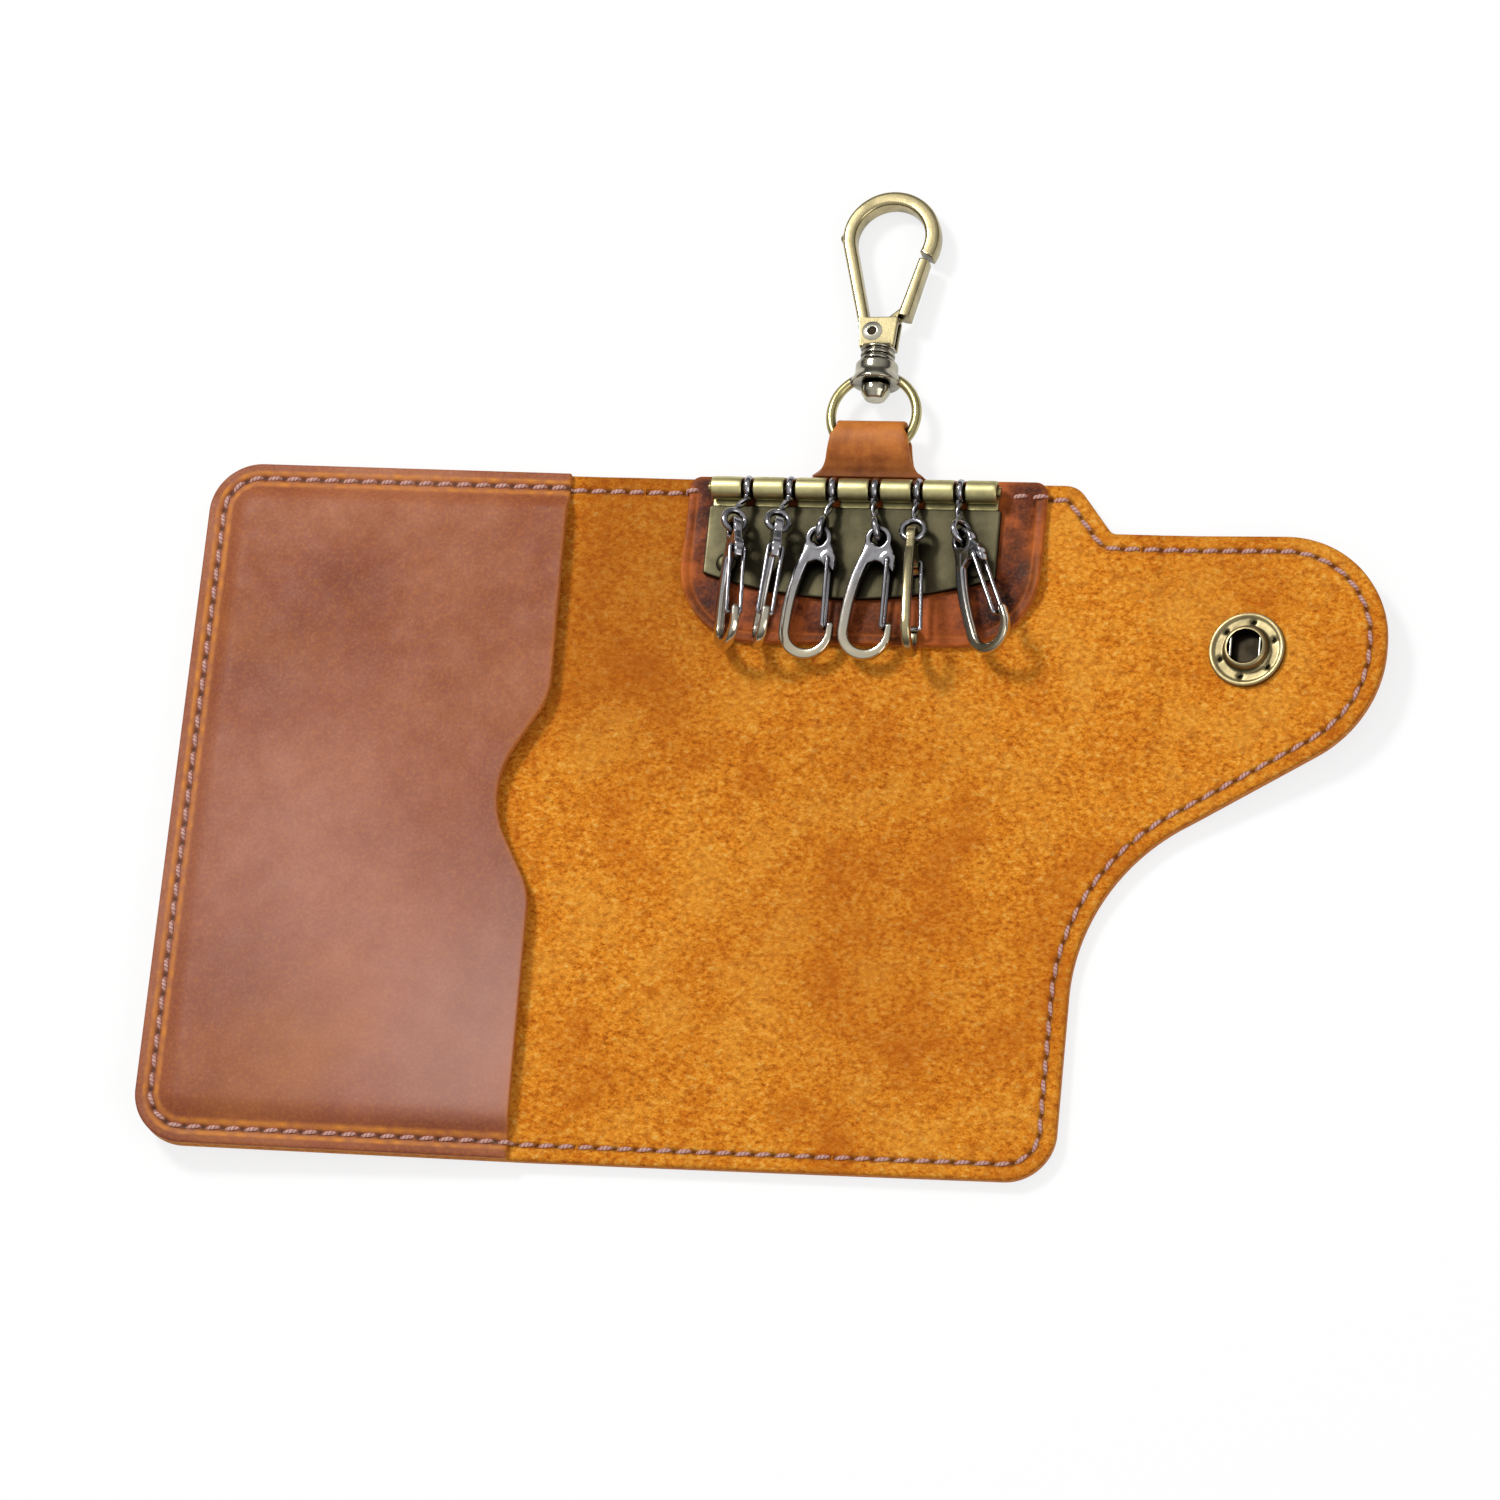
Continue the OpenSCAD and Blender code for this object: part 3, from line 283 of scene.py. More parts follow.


# %% [markdown]
# Antique brass is plated, darkened and polished again, so it is pale on its open faces and brown in its corners.
# That brown could be painted into the corners. An Ambient Occlusion node finds them on every piece without that; its
# dark is the brass's real patina together with painted shade, and on the gunmetal and the steel it is painted shade
# alone. The hooks are dark polished gunmetal with brassy rubbed spots. The thread is pinkish and its strands twist.
# %% Metals and thread
def metal(name, bright, dark, gloss, reach=0.0012, patina=240, tips=None):
    """Dark to bright as a corner opens within reach: painted shade, with real patina on antique brass. tips shows
    where the mesh's low says the plating is rubbed.
    """
    skin = Finish(name, Metallic=1.0)
    tarnish, fine = skin.noise(patina, 5, 0.65), skin.noise(2600, 3, 0.6)
    # Painted shade: corners, and places close under other parts, are darkened as ambient occlusion finds them.
    corners = put(skin.tree, "ShaderNodeAmbientOcclusion", in_Distance=reach, samples=6).outputs["AO"]
    open_face = skin.spread(corners, 0.35, 0.95)
    skin.tone = dark
    skin.over(bright, open_face)
    skin.over(dark, tarnish, 0.42, 0.75, 0.55)
    if tips:
        skin.over(tips, skin.maths("MULTIPLY", skin.told("low"), open_face))
    return skin.done((tarnish, 0.12, 0.0002), (fine, 0.09, 0.00004),
                     rough=skin.spread(tarnish, 0.3, 0.7, gloss - 0.05, gloss + 0.12))


def thread_finish():
    """Slanting waves over the stitch's own UV map, which runs along the thread and round it."""
    skin = Finish("thread", Roughness=0.6)
    strands = put(skin.tree, "ShaderNodeUVMap", uv_map="along").outputs["UV"]
    twist = put(skin.tree, "ShaderNodeTexWave", in_Vector=strands, in_Scale=1.0, in_Distortion=0.6,
                bands_direction="DIAGONAL").outputs["Fac"]
    skin.ramp(twist, (0.1, lin(158, 108, 98)), (0.5, lin(184, 138, 128)), (0.9, lin(204, 164, 152)))
    skin.over(lin(150, 98, 88), skin.noise(900, 4, 0.6), 0.4, 0.7, 0.4)
    return skin.done((twist, 0.2, 0.00008))


SUEDE = suede()
POCKET = waxed("pocket_leather", lin(118, 56, 30), lin(142, 76, 45), lin(162, 97, 64), lin(222, 140, 44))
OUTSIDE = waxed("outside_leather", lin(122, 62, 36), lin(144, 80, 50), lin(162, 98, 64), lin(222, 142, 50))
PATCH = waxed("patch_leather", lin(30, 10, 7), lin(92, 38, 17), lin(168, 84, 38), lin(206, 112, 44),
              gloss=0.44, cloud_scale=95, reach=0.11, shine=0.1)
STRAP = waxed("strap_leather", lin(122, 58, 25), lin(156, 84, 36), lin(184, 106, 46), lin(206, 126, 48),
              gloss=0.42, cloud_scale=210, reach=0.11)
EDGE = raw_edge()
# Every metal below is darkened in its corners by painted shade, with real patina on the antique brass.
BRASS = metal("antique_brass", lin(192, 180, 126), lin(66, 56, 32), 0.28, reach=0.002)
# The plate is a duller brass, painted darker still for the hooks' shade on it; its occlusion reaches 7 mm to paint
# that shade.
SHADED_PLATE = metal("plate_brass_painted_shade", lin(92, 86, 64), lin(15, 13, 10), 0.38, reach=0.007, patina=120)
BARREL = metal("barrel_brass", lin(212, 202, 146), lin(70, 60, 34), 0.4)
SNAP = metal("snap_brass", lin(156, 142, 104), lin(30, 25, 15), 0.33, reach=0.0022)
# A dark brass that stands for the shade in holes and bores: painted shade.
SHADE_BRASS = metal("painted_shade_brass", lin(46, 40, 30), lin(10, 8, 6), 0.45)
GUNMETAL = metal("gunmetal", lin(176, 174, 178), lin(10, 9, 12), 0.13, reach=0.003, tips=lin(214, 202, 172))
HOOK_BRASS = metal("rubbed_hook", lin(196, 182, 140), lin(52, 46, 36), 0.18, reach=0.002)
CLASP_BRASS = metal("clasp_brass", lin(184, 170, 128), lin(38, 33, 24), 0.24, reach=0.003)
RIVET = metal("rivet_brass", lin(226, 220, 200), lin(40, 36, 30), 0.2)
BELL = metal("grey_brass", lin(186, 180, 160), lin(26, 24, 24), 0.16, reach=0.003)
STEEL = metal("spring_steel", lin(190, 190, 190), lin(90, 90, 92), 0.3)
THREAD = thread_finish()
print("finishes:", len(bpy.data.materials))

# %% [markdown]
# ## From numbers to meshes
# Pieces could be pushed and pulled by hand. Here each one is worked out as whole numpy arrays and handed to the mesh
# in one go, so any size can be changed later. A piece's place is in its mesh, and its object stays at the origin, so
# that a pattern on Object coordinates never slides.
# %% Mesh helpers
SHARP = 52


def piece(name, verts, faces, finishes, index=None, values=None, recalc=False):
    """An object from points in millimetres. index gives each face's finish, and values the named point attributes.
    Edges that turn by more than SHARP degrees stay sharp."""
    mesh = bpy.data.meshes.new(name)
    mesh.from_pydata((np.asarray(verts, float) * MM).tolist(), [], [list(map(int, f)) for f in faces])
    for finish in finishes:
        mesh.materials.append(finish)
    if index is not None:
        mesh.polygons.foreach_set("material_index", np.asarray(index, np.int32))
    for key, value in (values or {}).items():
        mesh.attributes.new(key, "FLOAT", "POINT").data.foreach_set("value", np.asarray(value, np.float32))
    if recalc:
        shape = bmesh.new()
        shape.from_mesh(mesh)
        bmesh.ops.recalc_face_normals(shape, faces=shape.faces)
        shape.to_mesh(mesh)
        shape.free()
    mesh.polygons.foreach_set("use_smooth", np.full(len(mesh.polygons), True))
    mesh.update()
    mesh.set_sharp_from_angle(angle=math.radians(SHARP))
    obj = bpy.data.objects.new(name, mesh)
    bpy.context.collection.objects.link(obj)
    print(f"{name}: {len(mesh.vertices)} points, {len(mesh.polygons)} faces")
    return obj


def settle(obj, slot, body, *nodes):
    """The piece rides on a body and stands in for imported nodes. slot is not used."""
    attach(obj, body)
    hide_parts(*nodes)


def join(parts):
    """Several (points, faces) pairs as one, each later pair's face numbers moved on by the points before it."""
    verts, faces, start = [], [], 0
    for v, f in parts:
        verts.append(np.asarray(v, float))
        faces += [[i + start for i in face] for face in f]
        start += len(v)
    return np.concatenate(verts), faces


def unit(v):
    """Each direction divided by its length."""
    v = np.asarray(v, float)
    return v / np.maximum(np.linalg.norm(v, axis=-1, keepdims=True), 1e-12)


def ease(t):
    """The smooth step: three t squared less two t cubed, between nought and one."""
    t = np.clip(t, 0, 1)
    return t * t * (3 - 2 * t)


def bell(x, width):
    """A bell curve: e to the power of minus the square of x over the width."""
    return np.exp(-(x / width) ** 2)


def turned(points, at, axis, degrees):
    """Points turned about a line: the part along the line stays, and the rest goes round by cosine and sine."""
    a = np.radians(degrees)[..., None] if np.ndim(degrees) else math.radians(degrees)
    k = unit(axis)
    p = points - np.asarray(at, float)
    along = (p @ k)[:, None] * k
    return at + along + (p - along) * np.cos(a) + np.cross(k, p) * np.sin(a)


# %% [markdown]
# A stitch, a barrel or a hook's arm is a ring-shaped section carried along a path. A curve with a bevel could do it,
# but a grid of points also gives flat bars and changing widths. The section is a rounded rectangle, which a power
# above two makes squarer. Round ends are rings that shrink by the cosine while they move on by the sine.
# %% Sections along a path
def runs(path, up, closed=False):
    """Directions along a path by central differences, with side and up square to them. An open path's first and last
    directions are those of its first and last steps."""
    ahead = np.roll(path, -1, 0) - np.roll(path, 1, 0)
    if not closed:
        ahead[0], ahead[-1] = path[1] - path[0], path[-1] - path[-2]
    ahead = unit(ahead)
    side = unit(np.cross(np.broadcast_to(np.asarray(up, float), path.shape), ahead))
    return ahead, side, unit(np.cross(ahead, side))


def grid_faces(rows, columns, wrap_rows, wrap_columns, caps=False):
    """Quads between neighbouring rows and columns of a grid of points, and a flat cap on each end if asked."""
    r = np.arange(rows if wrap_rows else rows - 1)[:, None]
    c = np.arange(columns if wrap_columns else columns - 1)[None]
    r2, c2 = (r + 1) % rows, (c + 1) % columns
    quads = np.stack([r * columns + c, r * columns + c2, r2 * columns + c2, r2 * columns + c], -1)
    faces = quads.reshape(-1, 4).tolist()
    if caps:
        faces += [list(range(columns))[::-1], [(rows - 1) * columns + k for k in range(columns)]]
    return faces


def sweep(path, wide, thick, up=(0, 0, 1), power=2.0, sides=14, closed=False, ends=True):
    """Point k of ring i is the path point plus side times half the width times cos and up times half the thickness
    times sin, each taken to the power two over the given power with its sign kept."""
    path = np.asarray(path, float)
    wide, thick = (np.broadcast_to(size, len(path)) / 2.0 for size in (wide, thick))
    ahead, side, high = runs(path, up, closed)
    if ends and not closed:
        steps, near = np.radians([88, 65, 40, 18]), np.minimum(wide, thick)

        def cap(i, sign, order):
            """Rings beyond an end: moved on by the sine and shrunk by the cosine."""
            return (path[i] + sign * ahead[i] * (near[i] * np.sin(order))[:, None], wide[i] * np.cos(order),
                    thick[i] * np.cos(order))

        first, last = cap(0, -1, steps), cap(-1, 1, steps[::-1])
        path, wide, thick = (np.concatenate([a, b, c]) for a, b, c in zip(first, (path, wide, thick), last))
        side, high = (np.concatenate([np.repeat(d[:1], 4, 0), d, np.repeat(d[-1:], 4, 0)]) for d in (side, high))
    t = 2 * np.pi * np.arange(sides) / sides
    c, s = (np.sign(f) * abs(f) ** (2 / power) for f in (np.cos(t), np.sin(t)))
    verts = (path[:, None] + side[:, None] * (wide[:, None] * c)[..., None]
             + high[:, None] * (thick[:, None] * s)[..., None])
    return verts.reshape(-1, 3), grid_faces(len(path), sides, closed, True, not closed)


def flat_sweep(line, wide, thick, z=0.0, **how):
    """A bar along a flat line, all at one height."""
    return sweep(np.column_stack([line, np.full(len(line), z)]), wide, thick, **how)


def lathe(profile, sides=72, closed=False):
    """A profile of radius and height, turned once round the Z axis. closed joins its last point to its first."""
    profile = np.asarray(profile, float)
    t = 2 * np.pi * np.arange(sides) / sides
    r, z = profile[:, 0][:, None], profile[:, 1][:, None]
    verts = np.stack([r * np.cos(t), r * np.sin(t), np.broadcast_to(z, (len(profile), sides))], -1)
    return verts.reshape(-1, 3), grid_faces(len(profile), sides, closed, True, not closed)


def rounded_profile(points, radius, steps=4):
    """The same profile with each inner corner cut round: a quadratic curve from before the corner to after it."""
    points = np.asarray(points, float)
    out = [points[0]]
    for a, b, c in zip(points, points[1:], points[2:]):
        r = min(radius, np.linalg.norm(a - b) / 2, np.linalg.norm(c - b) / 2)
        start, end = b + unit(a - b) * r, b + unit(c - b) * r
        t = np.linspace(0, 1, steps + 1)[:, None]
        out += list((1 - t) ** 2 * start + 2 * (1 - t) * t * b + t ** 2 * end)
    return np.array(out + [points[-1]])


def bent(points, n=12):
    """A smooth line through points, n steps between each pair: a cubic curve that passes each point in the
    direction from the point before it to the point after it."""
    p = np.asarray(points, float)
    p = np.concatenate([2 * p[:1] - p[1:2], p, 2 * p[-1:] - p[-2:-1]])
    t = np.linspace(0, 1, n, endpoint=False)[:, None]
    parts = [0.5 * (2 * b + (c - a) * t + (2 * a - 5 * b + 4 * c - d) * t ** 2 + (3 * b - a - 3 * c + d) * t ** 3)
             for a, b, c, d in zip(p, p[1:], p[2:], p[3:])]
    return np.concatenate(parts + [p[-2:-1]])


# %% [markdown]
# Cast metal has no seams where its forms meet. Boolean unions would leave hard lines there. Instead, overlapping
# closed forms are welded by a voxel remesh, which makes one skin round them all, and a few smoothing passes round off
# what the mould would.
# %% Welding
def weld(parts, voxel, passes=4):
    """One skin round several closed forms, in cubes of the voxel's size, then drawn smooth."""
    verts, faces = join(parts)
    mesh = bpy.data.meshes.new("weld")
    mesh.from_pydata(verts.tolist(), [], faces)
    obj = bpy.data.objects.new("weld", mesh)
    bpy.context.collection.objects.link(obj)
    remesh = obj.modifiers.new("remesh", "REMESH")
    remesh.mode, remesh.voxel_size = "VOXEL", voxel
    soften = obj.modifiers.new("soften", "SMOOTH")
    soften.factor, soften.iterations = 0.5, passes
    evaluated = obj.evaluated_get(bpy.context.evaluated_depsgraph_get())
    made = evaluated.to_mesh()
    points = np.zeros(len(made.vertices) * 3, np.float32)
    made.vertices.foreach_get("co", points)
    faces = [list(p.vertices) for p in made.polygons]
    evaluated.to_mesh_clear()
    bpy.data.objects.remove(obj)
    bpy.data.meshes.remove(mesh)
    return points.reshape(-1, 3).astype(float), faces


# %% [markdown]
# ## Leather outlines
# A leather piece is cut from flat hide, so it starts as an outline with rounded corners. A bevelled plane would give
# the edge alone. Here each outline point knows its inward direction, so rings at any distance from the edge are one
# sum away, and they carry the rounded edge, the seam's groove, the rubbed places and the painted shade of the seam.
# %% Outlines
SHARPEST = 0.25


def outline(corners, step=0.5):
    """Corner: x, y and radius. An arc goes from one tangent point to the next round the corner's centre. Points are
    step apart. Returns the points and their inward directions."""
    q = np.array([c[:2] for c in corners], float)
    arcs = []
    for i, r in enumerate(max(c[2], SHARPEST) for c in corners):
        u, v = unit(q[i - 1] - q[i]), unit(q[(i + 1) % len(q)] - q[i])
        half = math.acos(np.clip(u @ v, -1, 1)) / 2
        if half > math.pi / 2 - 1e-3:
            arcs.append((q[i:i + 1], np.array([[-v[1], v[0]]])))
            continue
        centre = q[i] + unit(u + v) * r / math.sin(half)
        start = q[i] + u * r / math.tan(half) - centre
        side = 1 if v[0] * u[1] - v[1] * u[0] > 0 else -1
        angle = side * (math.pi - 2 * half)
        n = max(3, int(abs(angle) * r / step))
        t = math.atan2(start[1], start[0]) + angle * np.arange(n + 1) / n
        ring = np.stack([np.cos(t), np.sin(t)], 1)
        arcs.append((centre + r * ring, -side * ring))
    points, inward = [], []
    for i, (p, d) in enumerate(arcs):
        points.append(p)
        inward.append(d)
        a, b = p[-1], arcs[(i + 1) % len(arcs)][0][0]
        n = int(np.linalg.norm(b - a) / step)
        if n > 1:
            points.append(a + (b - a) * (np.arange(1, n) / n)[:, None])
            along = unit(b - a)
            inward.append(np.repeat([[-along[1], along[0]]], n - 1, 0))
    return np.concatenate(points), np.concatenate(inward)


def inside(points, loop):
    """Even-odd rule: a line to the right from a point in the loop crosses it an odd number of times."""
    ax, ay = loop.T
    bx, by = np.roll(ax, -1), np.roll(ay, -1)
    slope = (bx - ax) / np.where(by == ay, 1e-9, by - ay)
    out = []
    for part in np.array_split(points, max(1, len(points) // 4000)):
        x, y = part[:, :1], part[:, 1:]
        out.append((((ay > y) != (by > y)) & (x < ax + slope * (y - ay))).sum(1) % 2 == 1)
    return np.concatenate(out)


# %% [markdown]
# The inside of an outline could be one big face, but a face can't bend or hold a groove. So it is filled with small
# triangles by a triangulation, which joins any cloud of points well. Chains are lines that the triangles must follow,
# and one web can be parted along them later. A slab is two such skins and the walls between their borders.
# %% Webs and slabs
NOWHERE_NEAR, CHAIN_STEP = 99.0, 0.8


def web(loop, inward, rings, pitch, chains=(), dense=()):
    """Flat triangles over an outline: rings beside its edge, a triangular grid in between, and denser points.
    Returns the points, their distance from the edge, their place in the loop and the triangles."""
    n, steps = len(loop), (0.0, *rings)
    low, high = loop.min(0), loop.max(0)
    gx, gy = np.meshgrid(np.arange(low[0], high[0], pitch), np.arange(low[1], high[1], pitch * 0.866))
    gx = gx + (np.arange(len(gx)) % 2)[:, None] * pitch / 2
    cells = np.concatenate([np.stack([gx.ravel(), gy.ravel()], 1), *([dense] if len(dense) else [])])
    free = [cells[inside(cells, loop + (rings[-1] + pitch * 0.5) * inward)]]
    count = n * len(steps) + len(free[0])
    lines = [(i, (i + 1) % n) for i in range(n)]
    for i, j in chains:
        m = int(np.linalg.norm(loop[i] - loop[j]) / CHAIN_STEP)
        free.append(loop[i] + (loop[j] - loop[i]) * (np.arange(1, m) / m)[:, None])
        stops = [i, *range(count, count + m - 1), j]
        lines += list(zip(stops, stops[1:]))
        count += m - 1
    points = np.concatenate([loop + d * inward for d in steps] + free)
    rest = len(points) - n * len(steps)
    far = np.concatenate([np.repeat(steps, n), np.full(rest, NOWHERE_NEAR)])
    place = np.concatenate([np.tile(np.arange(n), len(steps)), np.full(rest, -1)])
    v, _, f, came, _, _ = delaunay_2d_cdt([Vector(p) for p in points.tolist()], lines, [], 0, 1e-4)
    source = np.array([c[0] if c else -1 for c in came])
    at, tris = np.array([p[:] for p in v], float), np.array(f)
    a, b, c = (at[tris[:, k]] for k in range(3))
    area = (b[:, 0] - a[:, 0]) * (c[:, 1] - a[:, 1]) - (b[:, 1] - a[:, 1]) * (c[:, 0] - a[:, 0])
    keep = inside(at[tris].mean(1), loop) & (abs(area) > 1e-9)
    tris[area < 0] = tris[area < 0][:, ::-1]
    return at, np.where(source < 0, NOWHERE_NEAR, far[source]), np.where(source < 0, -1, place[source]), tris[keep]


def edge_drop(far, radius):
    """Height lost beside a rounded edge: the radius less the height of a quarter circle."""
    d = np.clip(far, 0, radius)
    return radius - np.sqrt(np.clip(radius ** 2 - (radius - d) ** 2, 0, None))


def slab(at, tris, top, bottom):
    """Points, faces and face kinds of a leather slab: its top skin, its bottom skin, and walls on its borders."""
    used, tris = np.unique(tris, return_inverse=True)
    tris = tris.reshape(-1, 3)
    n = len(used)
    edges = np.concatenate([tris[:, [0, 1]], tris[:, [1, 2]], tris[:, [2, 0]]])
    border = edges[~np.isin(edges[:, 0] * n + edges[:, 1], edges[:, 1] * n + edges[:, 0])]
    walls = np.stack([border[:, 0] + n, border[:, 1] + n, border[:, 1], border[:, 0]], 1)
    verts = np.concatenate([np.column_stack([at[used], height[used]]) for height in (top, bottom)])
    faces = tris.tolist() + (tris[:, ::-1] + n).tolist() + walls.tolist()
    return verts, faces, [0] * len(tris) + [1] * len(tris) + [2] * len(walls), used


# %% [markdown]
# ## The hide
# The case's body is one sheet of 1.8 mm leather that folds along two creases on each side. It could be five boards
# with gaps, as in the imported model. It is meshed once, flat, and parted in the middle of each spine and once under
# the hooks, because a piece can bend between two bodies only. Neighbours share the points of their border, so no crack
# shows between them.
# %% Sizes of the hide
T, HALF, LEFT, EDGE_R, SIDE_R = 1.8, 58.2, -108.7, 0.35, 8.5
FOLD_A = next(joint["pos_m"][0] / MM for joint in frame["joints"] if joint["name"] == "left_fold_outer")
FOLD_B, BEND = -42.7, 3.4
LEFT_TILT, FLAP_TILT, FLAP_LEAN, FLAP_SPINE = 1.05719, 2.60314, math.radians(2.75), 18.8
FOOT = np.array([41.4, -27.795])
OUT = np.array([math.cos(FLAP_LEAN), math.sin(FLAP_LEAN)])
ALONG = np.array([-OUT[1], OUT[0]])
BODY_CORNERS = [(LEFT, -HALF, SIDE_R), (41.4, -HALF, 8), (41.4, -8.8, 33), (88.4, 18.5, 20.5), (88.4, 49, 18),
                (42.219, 49.9, 1.6), (35.919, HALF, 4), (LEFT, HALF, SIDE_R)]
body_loop, body_in = outline(BODY_CORNERS)
print("outline:", len(body_loop), "points round", round(float(np.ptp(body_loop[:, 0])), 1), "mm of width")


def flap_out(xy):
    """Distance beyond the flap's outer fold, square to it."""
    return (xy - FOOT) @ OUT


def flap_fold(reach):
    """A point of one of the flap's two folds, at the height of the leather's top."""
    return (*(FOOT + reach * OUT), T)


def laid(points):
    """Flat leather to leather at rest: each fold turns what lies beyond it a little, smoothly over its bend."""
    p = np.array(points, float)
    flat_x, out = p[:, 0].copy(), flap_out(p[:, :2])
    for fold in (FOLD_B, FOLD_A):
        p = turned(p, (fold, 0, T), (0, 1, 0), LEFT_TILT * ease((fold + BEND - flat_x) / (2 * BEND)))
    for reach in (FLAP_SPINE, 0.0):
        p = turned(p, flap_fold(reach), (*ALONG, 0), -FLAP_TILT * ease((out - reach + BEND) / (2 * BEND)))
    return p


# %% [markdown]
# A seam is a row of holes at an even pitch on a line 2.6 mm inside the edge. The leather sinks along it and puckers at
# each hole. The holes could be placed one by one. Here the line's running length gives each point its phase, and the
# whole numbers of the phase are the holes.
# %% The seam's line
SEAM_IN, PITCH = 2.6, 3.2
seam_line = body_loop + SEAM_IN * body_in
seam_ring = np.vstack([seam_line, seam_line[:1]])
seam_run = np.concatenate([[0], np.cumsum(np.linalg.norm(np.diff(seam_ring, axis=0), axis=1))])
STITCHES = int(seam_run[-1] / PITCH)
seam_step = seam_run[-1] / STITCHES


def seam_point(run):
    """The point of the seam's line at a running length, between its neighbours in proportion."""
    run = np.mod(run, seam_run[-1])
    return np.stack([np.interp(run, seam_run, seam_ring[:, k]) for k in (0, 1)], 1)


def phase(run):
    """How many stitches a running length lies beyond the nearest hole, from minus a half to a half."""
    return (run / seam_step + 0.5) % 1 - 0.5


def hole_mask(far, run):
    """A soft spot round each hole: a bell curve of the distance along the seam times one of the distance across."""
    return bell(phase(run) * seam_step, 0.62) * bell(far - SEAM_IN, 0.42)


print("seam:", STITCHES, "stitches", round(float(seam_step), 2), "mm apart")

# %% [markdown]
# A hide never lies quite flat. Sculpting could show that, but nothing may lift where the plate, the snap or the pocket
# lies on it. So a slow wave of a third of a millimetre is the product of two sines and of smooth steps that are nought
# at those places. The web is parted by three chains, each between two points of the outline.
# %% The hide's flat mesh
SNAP_AT = np.array([66, 30])


def wave(xy):
    """A sum of two slow waves, times a step for the patch, one for the snap and one for the pocket. It is lower on
    the flap."""
    x, y = xy.T
    swell = 0.5 + 0.25 * np.sin(0.075 * x + 1.1) * np.cos(0.06 * y - 0.6) + 0.25 * np.sin(0.11 * y + 0.03 * x)
    free = ease(np.hypot(np.maximum(abs(x - 1.6) - 32, 0), np.maximum(26 - y, 0)) / 14)
    snap = ease((np.linalg.norm(xy - SNAP_AT, axis=1) - 7) / 8)
    pocket = ease((x + 44) / 10)
    return (0.34 - 0.26 * ease(flap_out(xy) / 14)) * swell * free * snap * pocket


def nearest(mask, key):
    """The loop point of the masked ones where key is nearest to nought."""
    index = np.flatnonzero(mask)
    return int(index[np.argmin(abs(key[index]))])


loop_x, loop_y = body_loop.T
cuts = [(loop_x < 30, loop_x + 35.7), (loop_x < 30, loop_x - 6), (loop_x > 45, flap_out(body_loop) - 9.4)]
SPLITS = [[nearest(half & part, key) for half in (loop_y < 15, loop_y > 30)] for part, key in cuts]
strip = np.stack(np.meshgrid(np.arange(-4, 4.1, 0.8), np.arange(-HALF, 2 * HALF, 1.3)), -1).reshape(-1, 2)
dense = np.concatenate([strip + (FOLD_A, 0), strip + (FOLD_B, 0)]
                       + [FOOT + (strip[:, :1] + reach) * OUT + strip[:, 1:] * ALONG for reach in (0, FLAP_SPINE)])
RINGS = (0.06, 0.16, 0.35, 0.9, 1.5, 1.9, 2.25, 2.6, 2.95, 3.3, 3.8)
hide_at, hide_far, hide_place, hide_tris = web(body_loop, body_in, RINGS, 1.7, chains=SPLITS, dense=dense)
print("hide:", len(hide_at), "flat points,", len(hide_tris), "triangles")

# %% [markdown]
# The height of the suede is the leather's thickness plus the wave, less the rounded edge, the seam's groove and one
# faint crease on the flap. They could be sculpted and painted, but would have to be redone for each new size. Here
# they are bell curves of a distance, which stay soft. The same curves mark the painted shade in the stitch holes and
# along the groove, the darker crease and the dark edge paint, the painted shade beside the pocket and under the hooks,
# and where the outer side is rubbed beside its seam.
# %% Meshing the hide
hide_x, hide_y = hide_at.T
hide_hole = np.where(hide_place >= 0, hole_mask(hide_far, seam_run[np.clip(hide_place, 0, None)]), 0)
beside_seam = bell(hide_far - SEAM_IN, 0.5)
groove = 0.16 * beside_seam + 0.25 * hide_hole
crease = 0.5 * bell(flap_out(hide_at) - 12.6 + 0.5 * np.sin(hide_y / 5), 0.55) * ease((hide_y - 2) / 14)
hide_wave, hide_edge = wave(hide_at), edge_drop(hide_far, EDGE_R)
hide_top = T + hide_wave - hide_edge - groove - 0.12 * crease
hide_low = hide_wave + hide_edge + groove
# Painted shade in the suede's stitch holes and seam groove, a darker crease, and a thin line of dark edge paint.
hide_wear_and_shade = np.clip(1.1 * hide_hole + 0.3 * beside_seam + 0.3 * crease + 0.45 * np.exp(-hide_far / 0.3), 0, 1)
rub_low = np.clip(0.6 * bell(hide_far - 1.5, 0.5) + 0.6 * bell(hide_far - 3.6, 0.4), 0, 1)
# Painted shade on the suede beside the pocket and under the hooks.
hide_painted_shade = 0.5 * ease((hide_x + 52) / 10) * ease((-8 - hide_x) / 22) * ease((hide_y + 6) / 50)
hide_painted_shade += 0.16 * bell(np.hypot(hide_x - 2, hide_y - 12), 24)


def beyond(split, points):
    """Above nought on the left of the line from the split's lower point to its upper one."""
    a, b = body_loop[split[0]], body_loop[split[1]]
    return (b[0] - a[0]) * (points[:, 1] - a[1]) - (b[1] - a[1]) * (points[:, 0] - a[0])


def shares(points):
    """Which points lie on each of the four slabs, from the card side to the flap."""
    left = [beyond(split, points) > 0 for split in SPLITS]
    return [left[0], ~left[0] & left[1], ~left[1] & left[2], ~left[2]]


def leather(name, at, tris, heights, finishes, marks, lay=laid):
    """A slab as a piece, taken from flat to rest by lay. marks gives each attribute on the upper and lower skin."""
    verts, faces, kinds, used = slab(at, tris, *heights)
    values = {key: np.concatenate([np.broadcast_to(skin, len(at))[used] for skin in pair])
              for key, pair in marks.items()}
    return piece(name, lay(verts), faces, finishes, kinds, values)


HIDE_NAMES = ("leather_card_side", "leather_left", "leather_right", "leather_flap")
